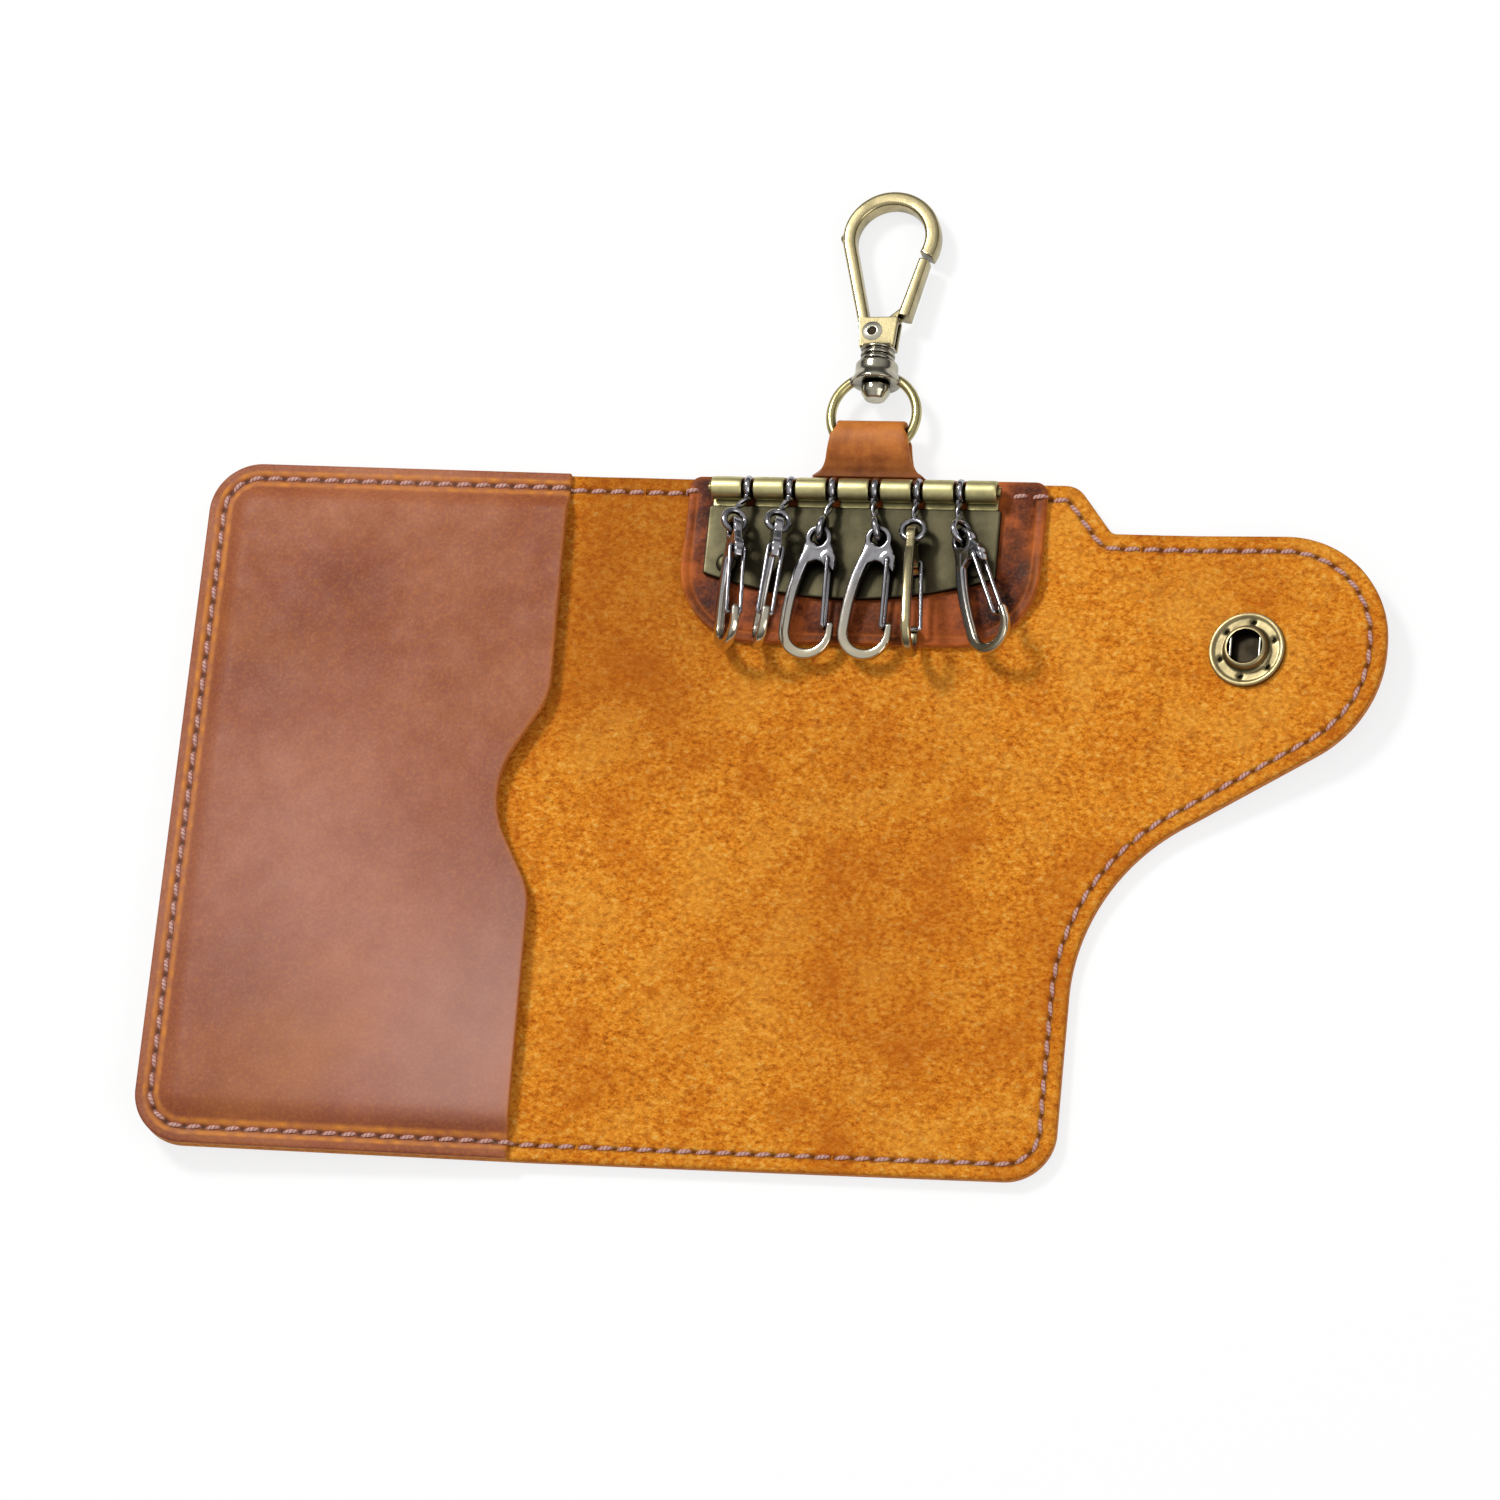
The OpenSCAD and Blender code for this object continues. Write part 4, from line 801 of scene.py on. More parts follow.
# On the outer side the stitch holes get painted shade.
hide_marks = {"wear_and_shade": (hide_wear_and_shade, rub_low), "painted_shade": (hide_painted_shade, 0), "hole": (0, hide_hole)}
hide = [leather(name, hide_at, hide_tris[chosen], (hide_top, hide_low), [SUEDE, OUTSIDE, EDGE], hide_marks)
        for name, chosen in zip(HIDE_NAMES, shares(hide_at[hide_tris].mean(1)))]

# %% [markdown]
# Leather doesn't hinge, it bends. The slabs are already bent over their folds at rest as they are laid. Here each
# slab's transform is only baked into its mesh.
# %% Baking the hide's transforms
def bend_between(obj, at, across):
    """Bakes the piece's transform into its mesh; it doesn't bend it. at and across are not used."""
    at, across = np.array(at, float), np.array(across, float)
    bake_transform(obj)


fold_b_at, flap_at = laid([(FOLD_B, 0, T)])[0], laid([flap_fold(FLAP_SPINE)])[0]


def fold_all(pieces):
    """bend_between at each of the four folds, for the four slabs or for the four parts of the seam; it bakes their
    transforms.
    """
    card, left, right, flap = pieces
    bend_between(card, fold_b_at, (1, 0, 0))
    bend_between(left, (FOLD_A, 0, T), (1, 0, 0))
    bend_between(right, flap_fold(0), (*OUT, 0))
    bend_between(flap, flap_at, (*OUT, 0))


fold_all(hide)
for obj, nodes in zip(hide, (["card_panel"], ["left_spine"], ["centre_panel"], ["flap", "flap_spine"])):
    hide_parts(*nodes)

# %% [markdown]
# ## Card pocket
# The pocket is a thinner leather sewn round three sides. Its rim lies flat under the seam, then it rises over the room
# for the cards. A displaced plane could rise so, but its mouth has a thumb notch and a bare cut edge that shows as an
# orange line, so it is a slab like the hide, with its own outline.
# %% Pocket
POCKET_T, NOTCH_Y, NOTCH_HALF, RIM = 1.2, 2.5, 16.5, 4.2
MOUTH, MOUTH_TOP, MOUTH_LOW = FOLD_B - 4.7, FOLD_B - 5.5, FOLD_B - 3.9


def from_sides(xy):
    """Distance inside the three sewn sides: a box with round left corners, open to the right."""
    x, y = xy.T
    dx, dy = LEFT + SIDE_R - x, abs(y) - (HALF - SIDE_R)
    outside = np.hypot(np.maximum(dx, 0), np.maximum(dy, 0))
    return SIDE_R - outside - np.minimum(np.maximum(dx, dy), 0) * ((dx < 0) & (dy < 0))


pocket_loop, pocket_in = outline([
    (LEFT, -HALF, SIDE_R), (MOUTH_LOW, -HALF, 0), (MOUTH, NOTCH_Y - NOTCH_HALF, 12), (MOUTH - 9.2, NOTCH_Y, 16),
    (MOUTH, NOTCH_Y + NOTCH_HALF, 12), (MOUTH_TOP, HALF, 0), (LEFT, HALF, SIDE_R)])
POCKET_RINGS = (0.06, 0.15, 0.3, 0.7, 1.1, 1.5, 1.9, 2.25, 2.6, 2.95, 3.3, 3.7, 4.3, 5)
at, far, _, tris = web(pocket_loop, pocket_in, POCKET_RINGS, 1.5)
depth = from_sides(at)
near_run = np.zeros(len(at))
close = np.flatnonzero(depth < RIM)
for part in np.array_split(close, max(1, len(close) // 1500)):
    near_run[part] = seam_run[np.argmin(((at[part][:, None] - seam_line[None]) ** 2).sum(-1), axis=1)]
# The stitch holes' mask also paints their shade on the pocket.
pocket_hole = hole_mask(depth, near_run) * (depth < RIM)
pocket_rise = 1.3 * ease((depth - 3.5) / 3.2)
lift = 0.25 * np.exp(-(far / 4.0)) * ease((depth - 5) / 10)
top = (T + POCKET_T + pocket_rise - edge_drop(far, 0.3) - 0.2 * bell(depth - SEAM_IN, 0.55) - 0.25 * pocket_hole
       + lift)
low = T + 0.03 + pocket_rise + edge_drop(far, 0.25) * (depth > 0.5) + lift
speckle = 0.5 + 0.5 * np.cos(2 * np.pi * phase(near_run)) * (0.6 + 0.4 * np.sin(near_run * 0.73 + 1))
rub = (bell(depth - 1.65, 0.34) + bell(depth - 3.55, 0.32)) * (0.35 + 0.65 * speckle)
rub += 0.5 * np.exp(-far / 0.25) * (depth > 0.6)
# Painted sheen: a pale lilac reflection towards the pocket's lower right, and a fainter one on its left.
painted_sheen = 0.46 * np.exp(-((at[:, 0] + 52) / 26) ** 2 - ((at[:, 1] + 40) / 30) ** 2) * ease((depth - 3.5) / 6)
painted_sheen += 0.22 * np.exp(-((at[:, 0] + 88) / 20) ** 2 - ((at[:, 1] + 12) / 30) ** 2)
pocket = leather("pocket", at, tris, (top, low), [POCKET, SUEDE, EDGE],
                 {"wear_and_shade": (np.clip(rub, 0, 1), 0), "hole": (pocket_hole, 0), "painted_sheen": (painted_sheen, 0)})
settle(pocket, "pocket_leather", "card_panel", "card_pocket")

# %% [markdown]
# ## Patch and strap
# A dark piece of waxed leather lies under the hook plate. A line is creased beside its edge, and the edge itself has
# curled up a little. It could be a bevelled plate, but the crease and the curl are what make it leather, so it is a
# slab again, with a bell curve for the line and a smooth step for the curl.
# %% Patch
PATCH_T, PATCH_HALF, PATCH_H, SHIFT = 1.3, 29.7, 28.4, 1.6
patch_loop, patch_in = outline([
    (SHIFT - PATCH_HALF, HALF - PATCH_H, 13), (SHIFT + PATCH_HALF, HALF - PATCH_H, 13),
    (SHIFT + PATCH_HALF, HALF, 2), (SHIFT - PATCH_HALF, HALF, 2)])
at, far, _, tris = web(patch_loop, patch_in, (0.06, 0.15, 0.35, 0.8, 1.2, 1.5, 1.75, 1.95), 1.3)
sides = ease((abs(at[:, 0] - SHIFT) - 25.6) / 4.1) * ease((HALF - 6 - at[:, 1]) / 8)
curl = 0.75 * sides ** 2 * (0.75 + 0.25 * np.sin(at[:, 1] * 0.5))
line = bell(far - 1.5, 0.28) * (at[:, 1] < HALF - 3)
heights = T + PATCH_T + curl - edge_drop(far, 0.3) - 0.16 * line, T + 0.02 + curl + edge_drop(far, 0.2)
patch_wear = np.clip(0.55 * np.exp(-far / 0.5) + 0.35 * line + 0.3 * sides, 0, 1)
patch = leather("patch", at, tris, heights, [PATCH, SUEDE, EDGE], {"wear_and_shade": (patch_wear, 0), "hole": (0, 0)},
                lay=np.array)
settle(patch, "patch_leather", "case", "hook_patch")

# %% [markdown]
# The strap is one strip: out over the top edge, round the ring's wire and back on itself. Cloth could be draped over
# the wire, but thick leather keeps the curve it was sewn in. So its middle line is a smooth curve seen from the side,
# and the width flares at the root and gives way to the ring at the fold.
# %% Strap
LOOP_Z, RING_Y, RING_R, STRAP_T, FLARE_R, ACROSS = 4.05, HALF + 10.9, 7.1, 1.2, 3.55, 41
side_view = bent([(57.0, 2.46), (58.6, 2.46), (60.3, 2.42), (62.5, 2.32), (65.3, 2.3), (66.7, 2.85), (67.2, 4.05),
                  (66.7, 5.25), (65.3, 5.8), (63.4, 5.75), (61.8, 5.2), (60.6, 4.35), (59.4, 3.75), (58.3, 3.68)], 7)
strap_path = np.column_stack([np.full(len(side_view), SHIFT), side_view])
y, z = side_view.T
flare = FLARE_R - np.sqrt(np.clip(FLARE_R ** 2 - np.clip(HALF + FLARE_R - y, 0, FLARE_R) ** 2, 0, None))
half_width = 7.05 - 0.75 * ease((y - 60) / 6) + 0.95 * flare
ring_inner = np.sqrt(np.clip(RING_R ** 2 - (RING_Y - y) ** 2, 0, None)) - 1.05
half_width = np.where((abs(z - LOOP_Z) < 1.7) & (y > 64.5), np.minimum(half_width, ring_inner), half_width)
half_width = np.convolve(np.pad(half_width, 3, "edge"), np.ones(7) / 7, "valid")
thick = np.full(len(y), STRAP_T)
thick[-12:] = np.linspace(STRAP_T, 0.5, 12)
normal = np.cross((1, 0, 0), unit(np.gradient(strap_path, axis=0)))
cells = np.linspace(-1, 1, ACROSS)
edge_round = 1 - np.clip((abs(cells) - 0.94) / 0.06, 0, 1) ** 2 * 0.35
skin_rows = []
for sign in (1, -1):
    rows = (strap_path[:, None] + half_width[:, None, None] * cells[None, :, None] * np.array([1.0, 0, 0])
            + sign * normal[:, None] * (thick[:, None] / 2 * edge_round[None])[..., None])
    skin_rows.append(rows if sign > 0 else rows[:, ::-1])
count = 2 * ACROSS
kinds = [2 if j % ACROSS == ACROSS - 1 else 0 for _ in range(len(side_view) - 1) for j in range(count)] + [2, 2]
# The strap is painted darker towards its root, through the attribute that gives the stitch holes their painted shade.
strap = piece("strap", np.concatenate(skin_rows, 1).reshape(-1, 3), grid_faces(len(y), count, False, True, True),
              [STRAP, SUEDE, EDGE], kinds,
              {"wear_and_shade": np.repeat(ease((y - 59) / 8.5) * 0.75, count),
               "hole": np.repeat(0.5 * (1 - ease((y - 58.5) / 4.5)), count)}, recalc=True)
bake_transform(strap)
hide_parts("strap_loop")

# %% [markdown]
# ## Seams
# Each stitch is a short waxed thread between two holes. It lies a little askew, stands up in the middle and dives into
# the leather at both ends. One tube along the whole seam would miss that. The same thread runs on the outer side.
# %% Stitches
ROWS, SIDES, THREAD_W, THREAD_T, PLATE_HALF = 6, 7, 0.74, 0.5, 24.2


def surface(xy):
    """Height of the top of whatever the seam runs over: the hide, the pocket's rim or the patch."""
    x, y = xy.T
    high = T + wave(xy) - 0.14
    high = np.where(x < np.where(y > 0, MOUTH_TOP, MOUTH_LOW), T + POCKET_T - 0.2, high)
    return np.where((y > HALF - PATCH_H) & (abs(x - SHIFT) < PATCH_HALF), T + PATCH_T, high)


def stitch(number, top):
    """Seven-sided thread on the line from hole to hole; its height is an arch less its dive at the ends."""
    t = np.linspace(-1, 1, ROWS)
    xy = seam_point((number + 0.5 + 0.36 * t) * seam_step)
    ahead = unit(xy[-1] - xy[0])
    xy = xy + np.array([-ahead[1], ahead[0]]) * (0.17 * t * (1 if top else -1))[:, None]
    if top:
        z = np.max([surface(xy + step * ahead) for step in (0, 0.3, -0.3)], axis=0) + 0.2 - 0.6 * t ** 4
    else:
        z = wave(xy) + 0.08 + 0.5 * t ** 4
    return sweep(np.column_stack([xy, z]), THREAD_W * (1 - 0.4 * t ** 2), THREAD_T, sides=SIDES, ends=False)


def seam_piece(name, tops, lows):
    """A part of the seam. Its UV map runs along each stitch and once round it."""
    parts = [stitch(k, True) for k in tops] + [stitch(k, False) for k in lows]
    verts, faces = join(parts)
    obj = piece(name, laid(verts), faces, [THREAD], recalc=True)
    along = np.tile(np.repeat(np.arange(ROWS) / (ROWS - 1.0) * 2.4, SIDES), len(parts))
    round_it = np.tile(np.arange(SIDES) / SIDES, ROWS * len(parts))
    corner = np.zeros(len(obj.data.loops), np.int32)
    obj.data.loops.foreach_get("vertex_index", corner)
    layer = obj.data.uv_layers.new(name="along")
    layer.data.foreach_set("uv", np.column_stack([along, round_it])[corner].astype(np.float32).ravel())
    return obj


numbers = np.arange(STITCHES)
spots = seam_point((numbers + 0.5) * seam_step)
hidden = (spots[:, 1] > HALF - 8) & (abs(spots[:, 0]) < PLATE_HALF + 1.4)
SEAM_NAMES = ("seam_card_side", "seam_left", "seam_right", "seam_round_flap")
seams = [seam_piece(name, numbers[chosen & ~hidden], numbers[chosen])
         for name, chosen in zip(SEAM_NAMES, shares(spots))]
fold_all(seams)
for obj, nodes in zip(seams, (["seam_card_panel"], ["seam_left_spine"], ["seam_centre"],
                              ["seam_flap_spine", "seam_flap"])):
    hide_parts(*nodes)

# %% [markdown]
# ## Hook plate
# The plate is stamped brass. Seven tongues on its top edge are rolled into barrels for the pin. Bending a sheet with
# modifiers would need a bend for each. Seen from the side a tongue is a straight line and then most of a circle round
# the pin, so it is a wide flat bar swept along that line.
# %% Plate, barrels and rivets
PLATE_Z, SAG, PIN_Y, PIN_Z, ROLL_R, SPACING = 3.1, 4, 55.4, 5.25, 1.45, 7.03
sag_r = (PLATE_HALF ** 2 + SAG ** 2) / (2 * SAG)
sag = np.radians(np.linspace(-1, 1, 33) * math.degrees(math.asin(PLATE_HALF / sag_r)))
plate_corners = [(sag_r * math.sin(a), 37.1 + sag_r * (1 - math.cos(a)), 0) for a in sag]
plate_corners += [(PLATE_HALF, 52.9, 0.6), (-PLATE_HALF, 52.9, 0.6)]
plate_loop, plate_in = outline(plate_corners, 0.4)
at, far, _, tris = web(plate_loop, plate_in, (0.06, 0.14, 0.25, 0.5), 1.6)
verts, faces, _, _ = slab(at, tris, PLATE_Z + 1 - edge_drop(far, 0.25), PLATE_Z + edge_drop(far, 0.1))
plate = piece("plate", verts, faces, [SHADED_PLATE])
roll = np.array([(51.2, 3.6), (52.6, 3.6), (53.8, 3.66)]
                + [(PIN_Y + ROLL_R * math.cos(a), PIN_Z + ROLL_R * math.sin(a))
                   for a in np.radians(np.linspace(-90, 196, 30))])
barrels = [sweep(np.column_stack([np.full(len(roll), SPACING * k), roll]), 0.9, 5.05, up=(1, 0, 0), power=9,
                 sides=36, ends=False) for k in range(-3, 4)]
rolls = piece("barrels", *join(barrels), [BARREL], recalc=True)
head_v, head_f = lathe(rounded_profile([(0.02, 0.75), (1.1, 0.7), (1.7, 0.3), (1.7, -0.2), (0.02, -0.2)], 0.35), 40)
rivets = piece("rivets", *join([(head_v + (x, 42.8, PLATE_Z + 1), head_f) for x in (-20.4, 20.4)]), [SHADED_PLATE],
               recalc=True)
for obj, node in ((plate, "key_plate"), (rolls, "key_plate"), (rivets, "plate_rivets")):
    settle(obj, "antique_brass", "case", node)

# %% [markdown]
# ## Links
# A link is one wire: a ring round the pin, a neck whose two strands twist together, and a ring for the hook. A curve
# with a bevel could be bent by hand. The strands are two spirals round one smooth line, which stays right at any
# angle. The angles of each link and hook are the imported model's, so the pieces stay where their joints expect them.
# %% Links
LINK_LEANS, LINK_RISES = [-29, -21, -11, 13.5, 0, 8], [26, 26, 16, 16, 14, 14]
HOOK_LEANS, HOOK_RISES = [0.5, -5.2, -3.3, -4.2, 4, 20.4], [-2.5, -4, -5, -5, 2, 3]
HOOK_ROLLS = [-58, -68, 0, 0, 90, -35]
WIRE, LINK, LINK_R, EYE_R, KNEE = 1.2, 7.6, 1.8, 1.5, 0.34
STRAND, STRAND_OFF, TURNS = 0.66, 0.3, 1.25


def tilted(v, lean, rise):
    """Raised about X by one angle, then turned about Z by the other."""
    c, s = math.cos(math.radians(rise)), math.sin(math.radians(rise))
    a, b = math.cos(math.radians(lean)), math.sin(math.radians(lean))
    y, z = v[1] * c + v[2] * s, v[2] * c - v[1] * s
    return np.array([v[0] * a - y * b, v[0] * b + y * a, z])


def torus(r, wire, sides=48, round_sides=16):
    """A wire ring: a small circle, r away from the axis, on the lathe."""
    t = 2 * np.pi * np.arange(round_sides) / round_sides
    return lathe(np.column_stack([r + wire / 2 * np.cos(t), wire / 2 * np.sin(t)]), sides, closed=True)


def framed(points, x, y, z, at):
    """Points of a piece's own frame in the case's: the origin plus each coordinate along its own direction."""
    return np.asarray(at) + points @ np.array([x, y, z], float)


eye_v, eye_f = torus(EYE_R, WIRE)
ring_v, ring_f = torus(LINK_R, 0.93 * WIRE)
frames = []
for i in range(6):
    lean, rise, roll = HOOK_LEANS[i], HOOK_RISES[i], math.radians(HOOK_ROLLS[i])
    side, back = tilted([math.cos(roll), 0, -math.sin(roll)], lean, rise), tilted([0, 1, 0], lean, rise)
    normal = np.cross(side, back)
    pin = np.array([(i - 2.5) * SPACING, PIN_Y, PIN_Z])
    first_back, link_back = tilted([0, 1, 0], 0, LINK_RISES[i]), tilted([0, 1, 0], LINK_LEANS[i], LINK_RISES[i])
    knee = pin - KNEE * LINK * first_back
    wire_end = knee - ((1 - KNEE) * LINK - LINK_R) * link_back
    ring_back = unit(link_back - (link_back @ normal) * normal)
    ring_side = np.cross(ring_back, normal)
    centre = wire_end - LINK_R * ring_back
    frames.append((side, back, normal, wire_end - 2 * LINK_R * ring_back))
    neck = bent([pin - 1.2 * first_back, knee, wire_end + 0.1 * (wire_end - centre)], 14)
    _, across, high = runs(neck, (0, 0, 1))
    strands = []
    for start in (0, math.pi):
        turn = start + 2 * math.pi * TURNS * np.linspace(0, 1, len(neck))
        spiral = neck + STRAND_OFF * (np.cos(turn)[:, None] * across + np.sin(turn)[:, None] * high)
        strands.append(sweep(spiral, STRAND, STRAND, sides=10))
    link = piece(f"link_{i + 1}_wire", *join([(framed(eye_v, (0, 1, 0), (0, 0, 1), (1, 0, 0), pin), eye_f),
                                              (framed(ring_v, normal, ring_back, ring_side, centre), ring_f),
                                              *strands]), [GUNMETAL], recalc=True)
    settle(link, "gunmetal", f"link_{i + 1}", f"hook_link_{i + 1}")

# %% [markdown]
# ## Hooks
# Each hook is one casting: an eye, a shoulder with a lug for the gate, a long bowed arm and a turned-up tip. It could
# be a subdivided cage, but that is slow to get even. Its forms overlap, so they are welded into one skin once, and
# the six hooks are that skin in six places. The gate is a loop of spring wire between the lug and the tip.
# %% Hook casting
HEAD_R, HOOK_LEN, BEND_R, ARM_W, ARM_T, TIP_UP = 2.2, 15.6, 3.7, 1.8, 1.55, 1.4
GATE_WIRE, GATE_END = 0.7, np.array([2, -3.2])


def bezier(p, n):
    """A cubic curve: its four points weighted by the terms of (1 - k + k) cubed."""
    k = np.linspace(0, 1, n + 1)[:, None]
    p = np.array(p, float)
    return (1 - k) ** 3 * p[0] + 3 * (1 - k) ** 2 * k * p[1] + 3 * (1 - k) * k ** 2 * p[2] + k ** 3 * p[3]


def prism(points, low, high, chamfer=0.22):
    """A flat shape with thickness. Its rim is drawn in a little at both faces."""
    p = np.asarray(points, float)
    drawn = p + chamfer * unit(p.mean(0) - p)
    rings = [np.column_stack([q, np.full(len(p), z)])
             for q, z in ((drawn, low), (p, low + chamfer), (p, high - chamfer), (drawn, high))]
    return np.concatenate(rings), grid_faces(4, len(p), False, True, True)


arm = bezier([(-0.45 * HEAD_R, -0.55 * HEAD_R), (-0.78 * BEND_R, -0.33 * HOOK_LEN), (-BEND_R, -0.62 * HOOK_LEN),
              (-BEND_R, -HOOK_LEN)], 26)
swing = np.radians(180 + 180 * np.arange(1, 33) / 32)
arc = np.column_stack([BEND_R * np.cos(swing), -HOOK_LEN + BEND_R * np.sin(swing)])
centre_line = np.concatenate([arm, arc, [(BEND_R, 0.8 - HOOK_LEN), (BEND_R, TIP_UP - HOOK_LEN)]])
share = np.clip((np.arange(len(centre_line)) - 42) / (len(centre_line) - 42), 0, 1)
bar = flat_sweep(centre_line, ARM_W - 0.6 * share, ARM_T - 0.2 * share, power=3.6, sides=20)
eye = lathe(rounded_profile([(1.25, 0), (1.25, -0.78), (2.2, -0.78), (2.2, 0.78), (1.25, 0.78), (1.25, 0)],
                            0.35)[:-1], 56, closed=True)
notch = [(1.4 * math.cos(a), 1.4 * math.sin(a)) for a in np.radians(np.linspace(200, 340, 15))]
shoulder = notch + [(HEAD_R * a, HEAD_R * b) for a, b in (
    (0.98, -0.3), (1.3, -0.9), (1.5, -1.9), (1.42, -2.35), (1.2, -2.2), (0.6, -1.85), (0, -1.65), (-0.55, -1.9),
    (-0.95, -2.2), (-1.2, -1.7), (-0.98, -0.3))]
lug_v, lug_f = lathe(rounded_profile([(0.02, -0.8), (1.25, -0.8), (1.25, 0.8), (0.02, 0.8)], 0.25), 40)
casting_v, casting_f = weld([bar, eye, prism(shoulder, -0.72, 0.72), (lug_v + (*GATE_END, 0), lug_f)], 0.11, 5)
print("hook casting:", len(casting_v), "points")
tip = np.array([BEND_R - 1.2 / 2 - GATE_WIRE / 2 - 0.1, -HOOK_LEN + TIP_UP * 2 / 3])
half, middle = ARM_T / 2 + 0.05 + GATE_WIRE / 2, (tip + GATE_END) / 2
gate_path = rounded_profile([(*middle, half), (*tip, half), (*tip, -half), (*GATE_END, -half), (*GATE_END, half),
                             (*middle, half)], 0.45, 6)[:-1]
gate_line = unit(tip - GATE_END)
gate_v, gate_f = sweep(gate_path, GATE_WIRE, GATE_WIRE, up=(-gate_line[1], gate_line[0], 0), closed=True)
rubbed = np.clip(-casting_v[:, 1] / HOOK_LEN - 0.35, 0, 1)
for i, hook_frame in enumerate(frames):
    body = piece(f"hook_{i + 1}_casting", framed(casting_v, *hook_frame), casting_f,
                 [HOOK_BRASS if i == 4 else GUNMETAL], values={"low": rubbed})
    gate = piece(f"gate_{i + 1}_wire", framed(gate_v, *hook_frame), gate_f, [GUNMETAL], recalc=True)
    settle(body, "gunmetal", f"hook_{i + 1}", f"hook_body_{i + 1}")
    settle(gate, "gunmetal", f"gate_{i + 1}", f"hook_gate_{i + 1}")

# %% [markdown]
# ## Snap
# The socket is turned: a flat flange with a raised rim and six punched dots, and a collar round a deep hole. The dots
# could be cut by booleans. They are pits instead, pressed into a fine turned surface by a bell curve of the distance
# to each. The cap is on the outside of the flap, and the stud on the outside of the card side.
# %% Snap
def on_flap(p):
    """Flat to rest on the flap: the two folds' turns one after the other."""
    p = np.asarray(p, float)
    for reach in (FLAP_SPINE, 0.0):
        p = turned(p, flap_fold(reach), (*ALONG, 0), -FLAP_TILT)
    return p


def on_card(p):
    """The same on the card side."""
    p = np.asarray(p, float)
    for fold in (FOLD_B, FOLD_A):
        p = turned(p, (fold, 0, T), (0, 1, 0), LEFT_TILT)
    return p


def turned_form(points, radius, sides):
    """A profile with rounded corners on the lathe."""
    return lathe(rounded_profile(points, radius), sides)


socket_line = [(0.02, 0.3), (2.6, 0.3), (2.75, 0.6), (2.75, 1.95), (2.95, 2.28), (3.3, 2.28), (3.55, 2.0),
               (3.62, 0.95), *[(r, 0.66) for r in np.arange(4.0, 5.21, 0.15)], (5.45, 0.76), (5.8, 0.9),
               (6.12, 0.78), (6.25, 0.35), (6.2, 0.02), (0.02, 0.0)]
socket_v, socket_f = lathe(socket_line, 144)
dot_turns = np.radians(60 * np.arange(6) + 20)
dots = 4.6 * np.stack([np.cos(dot_turns), np.sin(dot_turns)], 1)
for dot in dots:
    pit = bell(np.linalg.norm(socket_v[:, :2] - dot, axis=1), 0.36)
    socket_v[:, 2] -= np.where(socket_v[:, 2] > 0.4, 0.42 * pit, 0)
# Faces in the socket's hole and in its pits get a dark brass: painted shade.
deep = []
for f in socket_f:
    middle = socket_v[f].mean(0)
    in_hole, in_dot = np.hypot(*socket_v[f[0], :2]) < 2.8, np.linalg.norm(middle[:2] - dots, axis=1).min() < 0.34
    deep.append(int(middle[2] > 0.1 and (in_hole or in_dot)))
socket = piece("socket", on_flap(socket_v + (*SNAP_AT, T)), socket_f, [SNAP, SHADE_BRASS], deep, recalc=True)
cap_v, cap_f = turned_form([(0.02, -1.55), (2.5, -1.6), (4.8, -1.35), (6.0, -0.7), (6.25, -0.05), (6.2, 0.1),
                            (0.02, 0.1)], 0.6, 96)
cap = piece("cap", on_flap(cap_v + (*SNAP_AT, 0)), cap_f, [BRASS], recalc=True)
stud_v, stud_f = turned_form([(0.02, -2.4), (1.9, -2.38), (2.4, -2.1), (2.4, -1.75), (1.95, -1.4), (1.93, -0.62),
                              (4.5, -0.55), (4.6, -0.25), (4.55, 0.03), (0.02, 0.03)], 0.14, 80)
stud = piece("stud", on_card(stud_v + (-101.552, 28.278, 0)), stud_f, [BRASS], recalc=True)
for obj, body, node in ((socket, "flap", "snap_socket"), (cap, "flap", "snap_cap"),
                        (stud, "card_panel", "snap_stud")):
    settle(obj, "antique_brass", body, node)

# %% [markdown]
# ## Swivel ring and clasp
# The ring and the bored boss on it are one casting. As two pieces they would meet in a hard line. So a torus and a
# turned boss are made lying along Y, welded, and laid in the ring's own frame, which leans a little. The boss is a
# greyer brass, chosen face by face.
# %% Ring
RING_AT = np.array([SHIFT, RING_Y, 3.778])


def on_ring(p):
    """Leaned about X and turned about Z, as the ring lies."""
    p = turned(np.asarray(p, float), (0, 0, 0), (1, 0, 0), -2.6)
    return turned(p, (0, 0, 0), (0, 0, 1), 2.0) + RING_AT


def lathe_y(profile, closed=False):
    """Turned about Y: the profile's height runs along Y."""
    v, f = lathe(profile, 64, closed)
    return v[:, [1, 2, 0]], f


boss = rounded_profile([(1.4, 5.3), (4.1, 5.35), (4.05, 5.9), (3.5, 7.2), (3.5, 8.9), (1.4, 8.9)], 0.3)
ring_v, ring_f = weld([torus(RING_R, 1.7, 96, 20), lathe_y(boss, closed=True)], 0.14, 4)
firsts = ring_v[[f[0] for f in ring_f]]
on_boss = (abs(firsts[:, 0]) < 4.5) & (firsts[:, 1] > 5.2) & (np.hypot(firsts[:, 0], firsts[:, 2]) < 4.3)
ring = piece("ring", on_ring(ring_v), ring_f, [BRASS, BELL], on_boss)
settle(ring, "antique_brass", "ring", "swivel_ring")

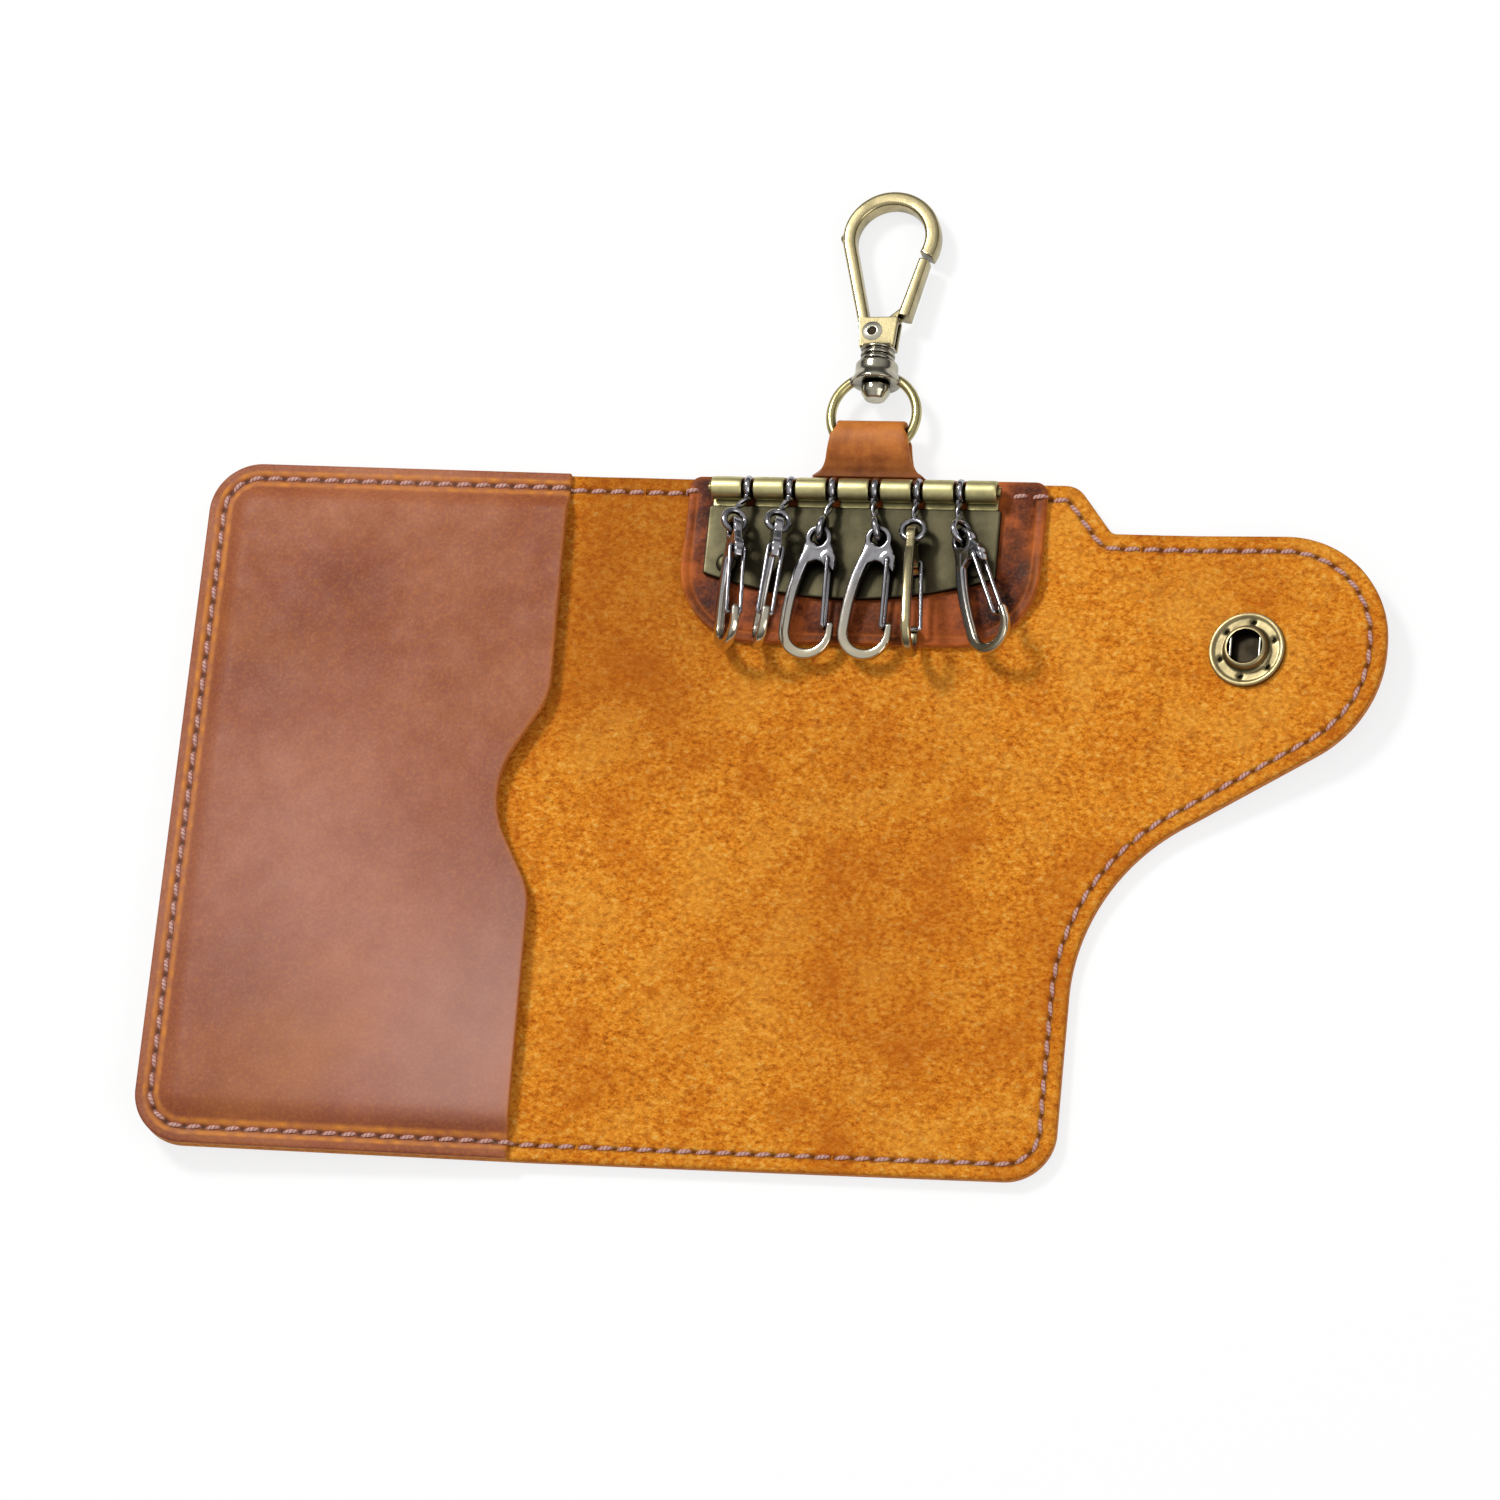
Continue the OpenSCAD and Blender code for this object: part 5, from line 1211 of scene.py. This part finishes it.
# %% [markdown]
# The clasp's bow, block and grooved neck are one casting too. A bevelled curve could be the bow, but not the block
# that it grows out of, so the casting is welded from a swept bar, flat prisms and turned forms. Its gate is a bar
# with a thin tongue that turns between the block's two plates on a hollow rivet. The rivet's lips are rolled over,
# and a dark plug inside paints the shade of its bore.
# %% Clasp
BOW_R, BOW_Y, BOW_X, CLASP_T, PIVOT = 6.95, 31.45, 1.05, 3.4, np.array([-0.9, 14.3])
stem = lathe_y(rounded_profile([(0.02, 2.6), (1.6, 2.6), (2.4, 3.85), (2.4, 5.1), (1.3, 5.1), (1.3, 9.2),
                                (0.02, 9.2)], 0.25))
neck = lathe_y([(0.02, 9.1), (2.5, 9.1), (2.85, 9.3), (2.85, 9.75), (2.4, 9.85), (2.4, 10.15), (2.85, 10.25),
                (2.85, 10.75), (2.4, 10.85), (2.4, 11.15), (2.85, 11.3), (2.8, 11.8), (0.02, 11.8)])
block = [(-2.9, 11.6), (2.9, 11.6), (3.38, 16.7), (3.2, 16.9), (-3.4, 16.9)]
plates = [prism(block, low, low + 0.85, 0.15) for low in (0.85, -1.7)]
back_wall = prism([(-2.9, 11.6), (-2.6, 11.6), (-2.6, 16.9), (-3.4, 16.9)], -1.7, 1.7, 0.1)
turn = np.radians(np.linspace(193, -29, 74))
bow = np.column_stack([BOW_X + BOW_R * np.cos(turn), BOW_Y + BOW_R * np.sin(turn)])
bow_line = np.concatenate([np.linspace((-2.35, 15.6), bow[0], 18)[:-1], bow])
width = np.interp(np.arange(len(bow_line)), [0, len(bow_line) / 2, len(bow_line)], [2, 2.6, 2.6])
bow_part = flat_sweep(bow_line, width, CLASP_T, power=4.5, sides=28, ends=False)
nib_v, nib_f = turned_form([(0.02, -0.85), (0.85, -0.85), (0.85, 0.85), (0.02, 0.85)], 0.3, 32)
nib = nib_v + (BOW_X - 16.5 / 2 + 1.7 / 3, BOW_Y + 0.2, 0), nib_f
clasp_v, clasp_f = weld([stem, neck, *plates, back_wall, bow_part, nib], 0.13, 3)
clasp = piece("clasp_casting", on_ring(clasp_v), clasp_f, [CLASP_BRASS, BELL],
              clasp_v[[f[0] for f in clasp_f], 1] < 11.55)
foot, top_end = np.array([4.05, 17.05]), bow[-1] + (-0.3, -0.8)
bar = flat_sweep(np.linspace(foot, top_end, 20), np.linspace(2.2, 1.76, 20), CLASP_T, power=4.5, sides=28,
                 ends=False)
tongue = flat_sweep(np.linspace(PIVOT, foot + (top_end - foot) / 6, 12), np.linspace(2.0, 2.2, 12), 0.85, z=-0.2,
                    power=6, sides=24)
gate_v, gate_f = weld([bar, tongue], 0.13, 3)
clasp_gate = piece("clasp_gate_bar", on_ring(gate_v), gate_f, [CLASP_BRASS])
lips = rounded_profile([(0.64, 0), (0.64, -1.85), (0.86, -2.0), (1.7, -1.72), (1.65, -1.66), (0.8, -1.6), (0.8, 1.6),
                        (1.65, 1.66), (1.7, 1.72), (0.86, 2.0), (0.64, 1.85), (0.64, 0)], 0.12)
bore_shade_plug = lathe([(0.02, -1.76), (0.66, -1.76), (0.66, 1.76), (0.02, 1.76)], 24)
rivet_v, rivet_f = join([lathe(lips[:-1], 56, closed=True), bore_shade_plug])
# Faces in the bore get a dark brass: painted shade.
in_bore = [int(np.hypot(*rivet_v[f, :2].T).max() < 0.7) for f in rivet_f]
hollow = piece("hollow_rivet", on_ring(rivet_v + (*PIVOT, 0)), rivet_f, [RIVET, SHADE_BRASS], in_bore, recalc=True)
for obj, body, node in ((clasp, "clasp", "clasp_body"), (clasp_gate, "clasp_gate", "clasp_gate"),
                        (hollow, "clasp", "clasp_rivet")):
    settle(obj, "antique_brass", body, node)

# %% [markdown]
# ## Small parts that stay as they are
# The pin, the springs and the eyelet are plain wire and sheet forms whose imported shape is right. They could be made
# again, but nothing would be gained, so they only get metal.
# %% Pin, springs and eyelet
for node, finish in (("hinge_pin", BRASS), ("clasp_spring", STEEL), ("snap_spring", RIVET), ("stud_eyelet", BRASS)):
    for material_slot in frame["nodes"][node].material_slots:
        material_slot.material = finish
    print(node, "is", finish.name)
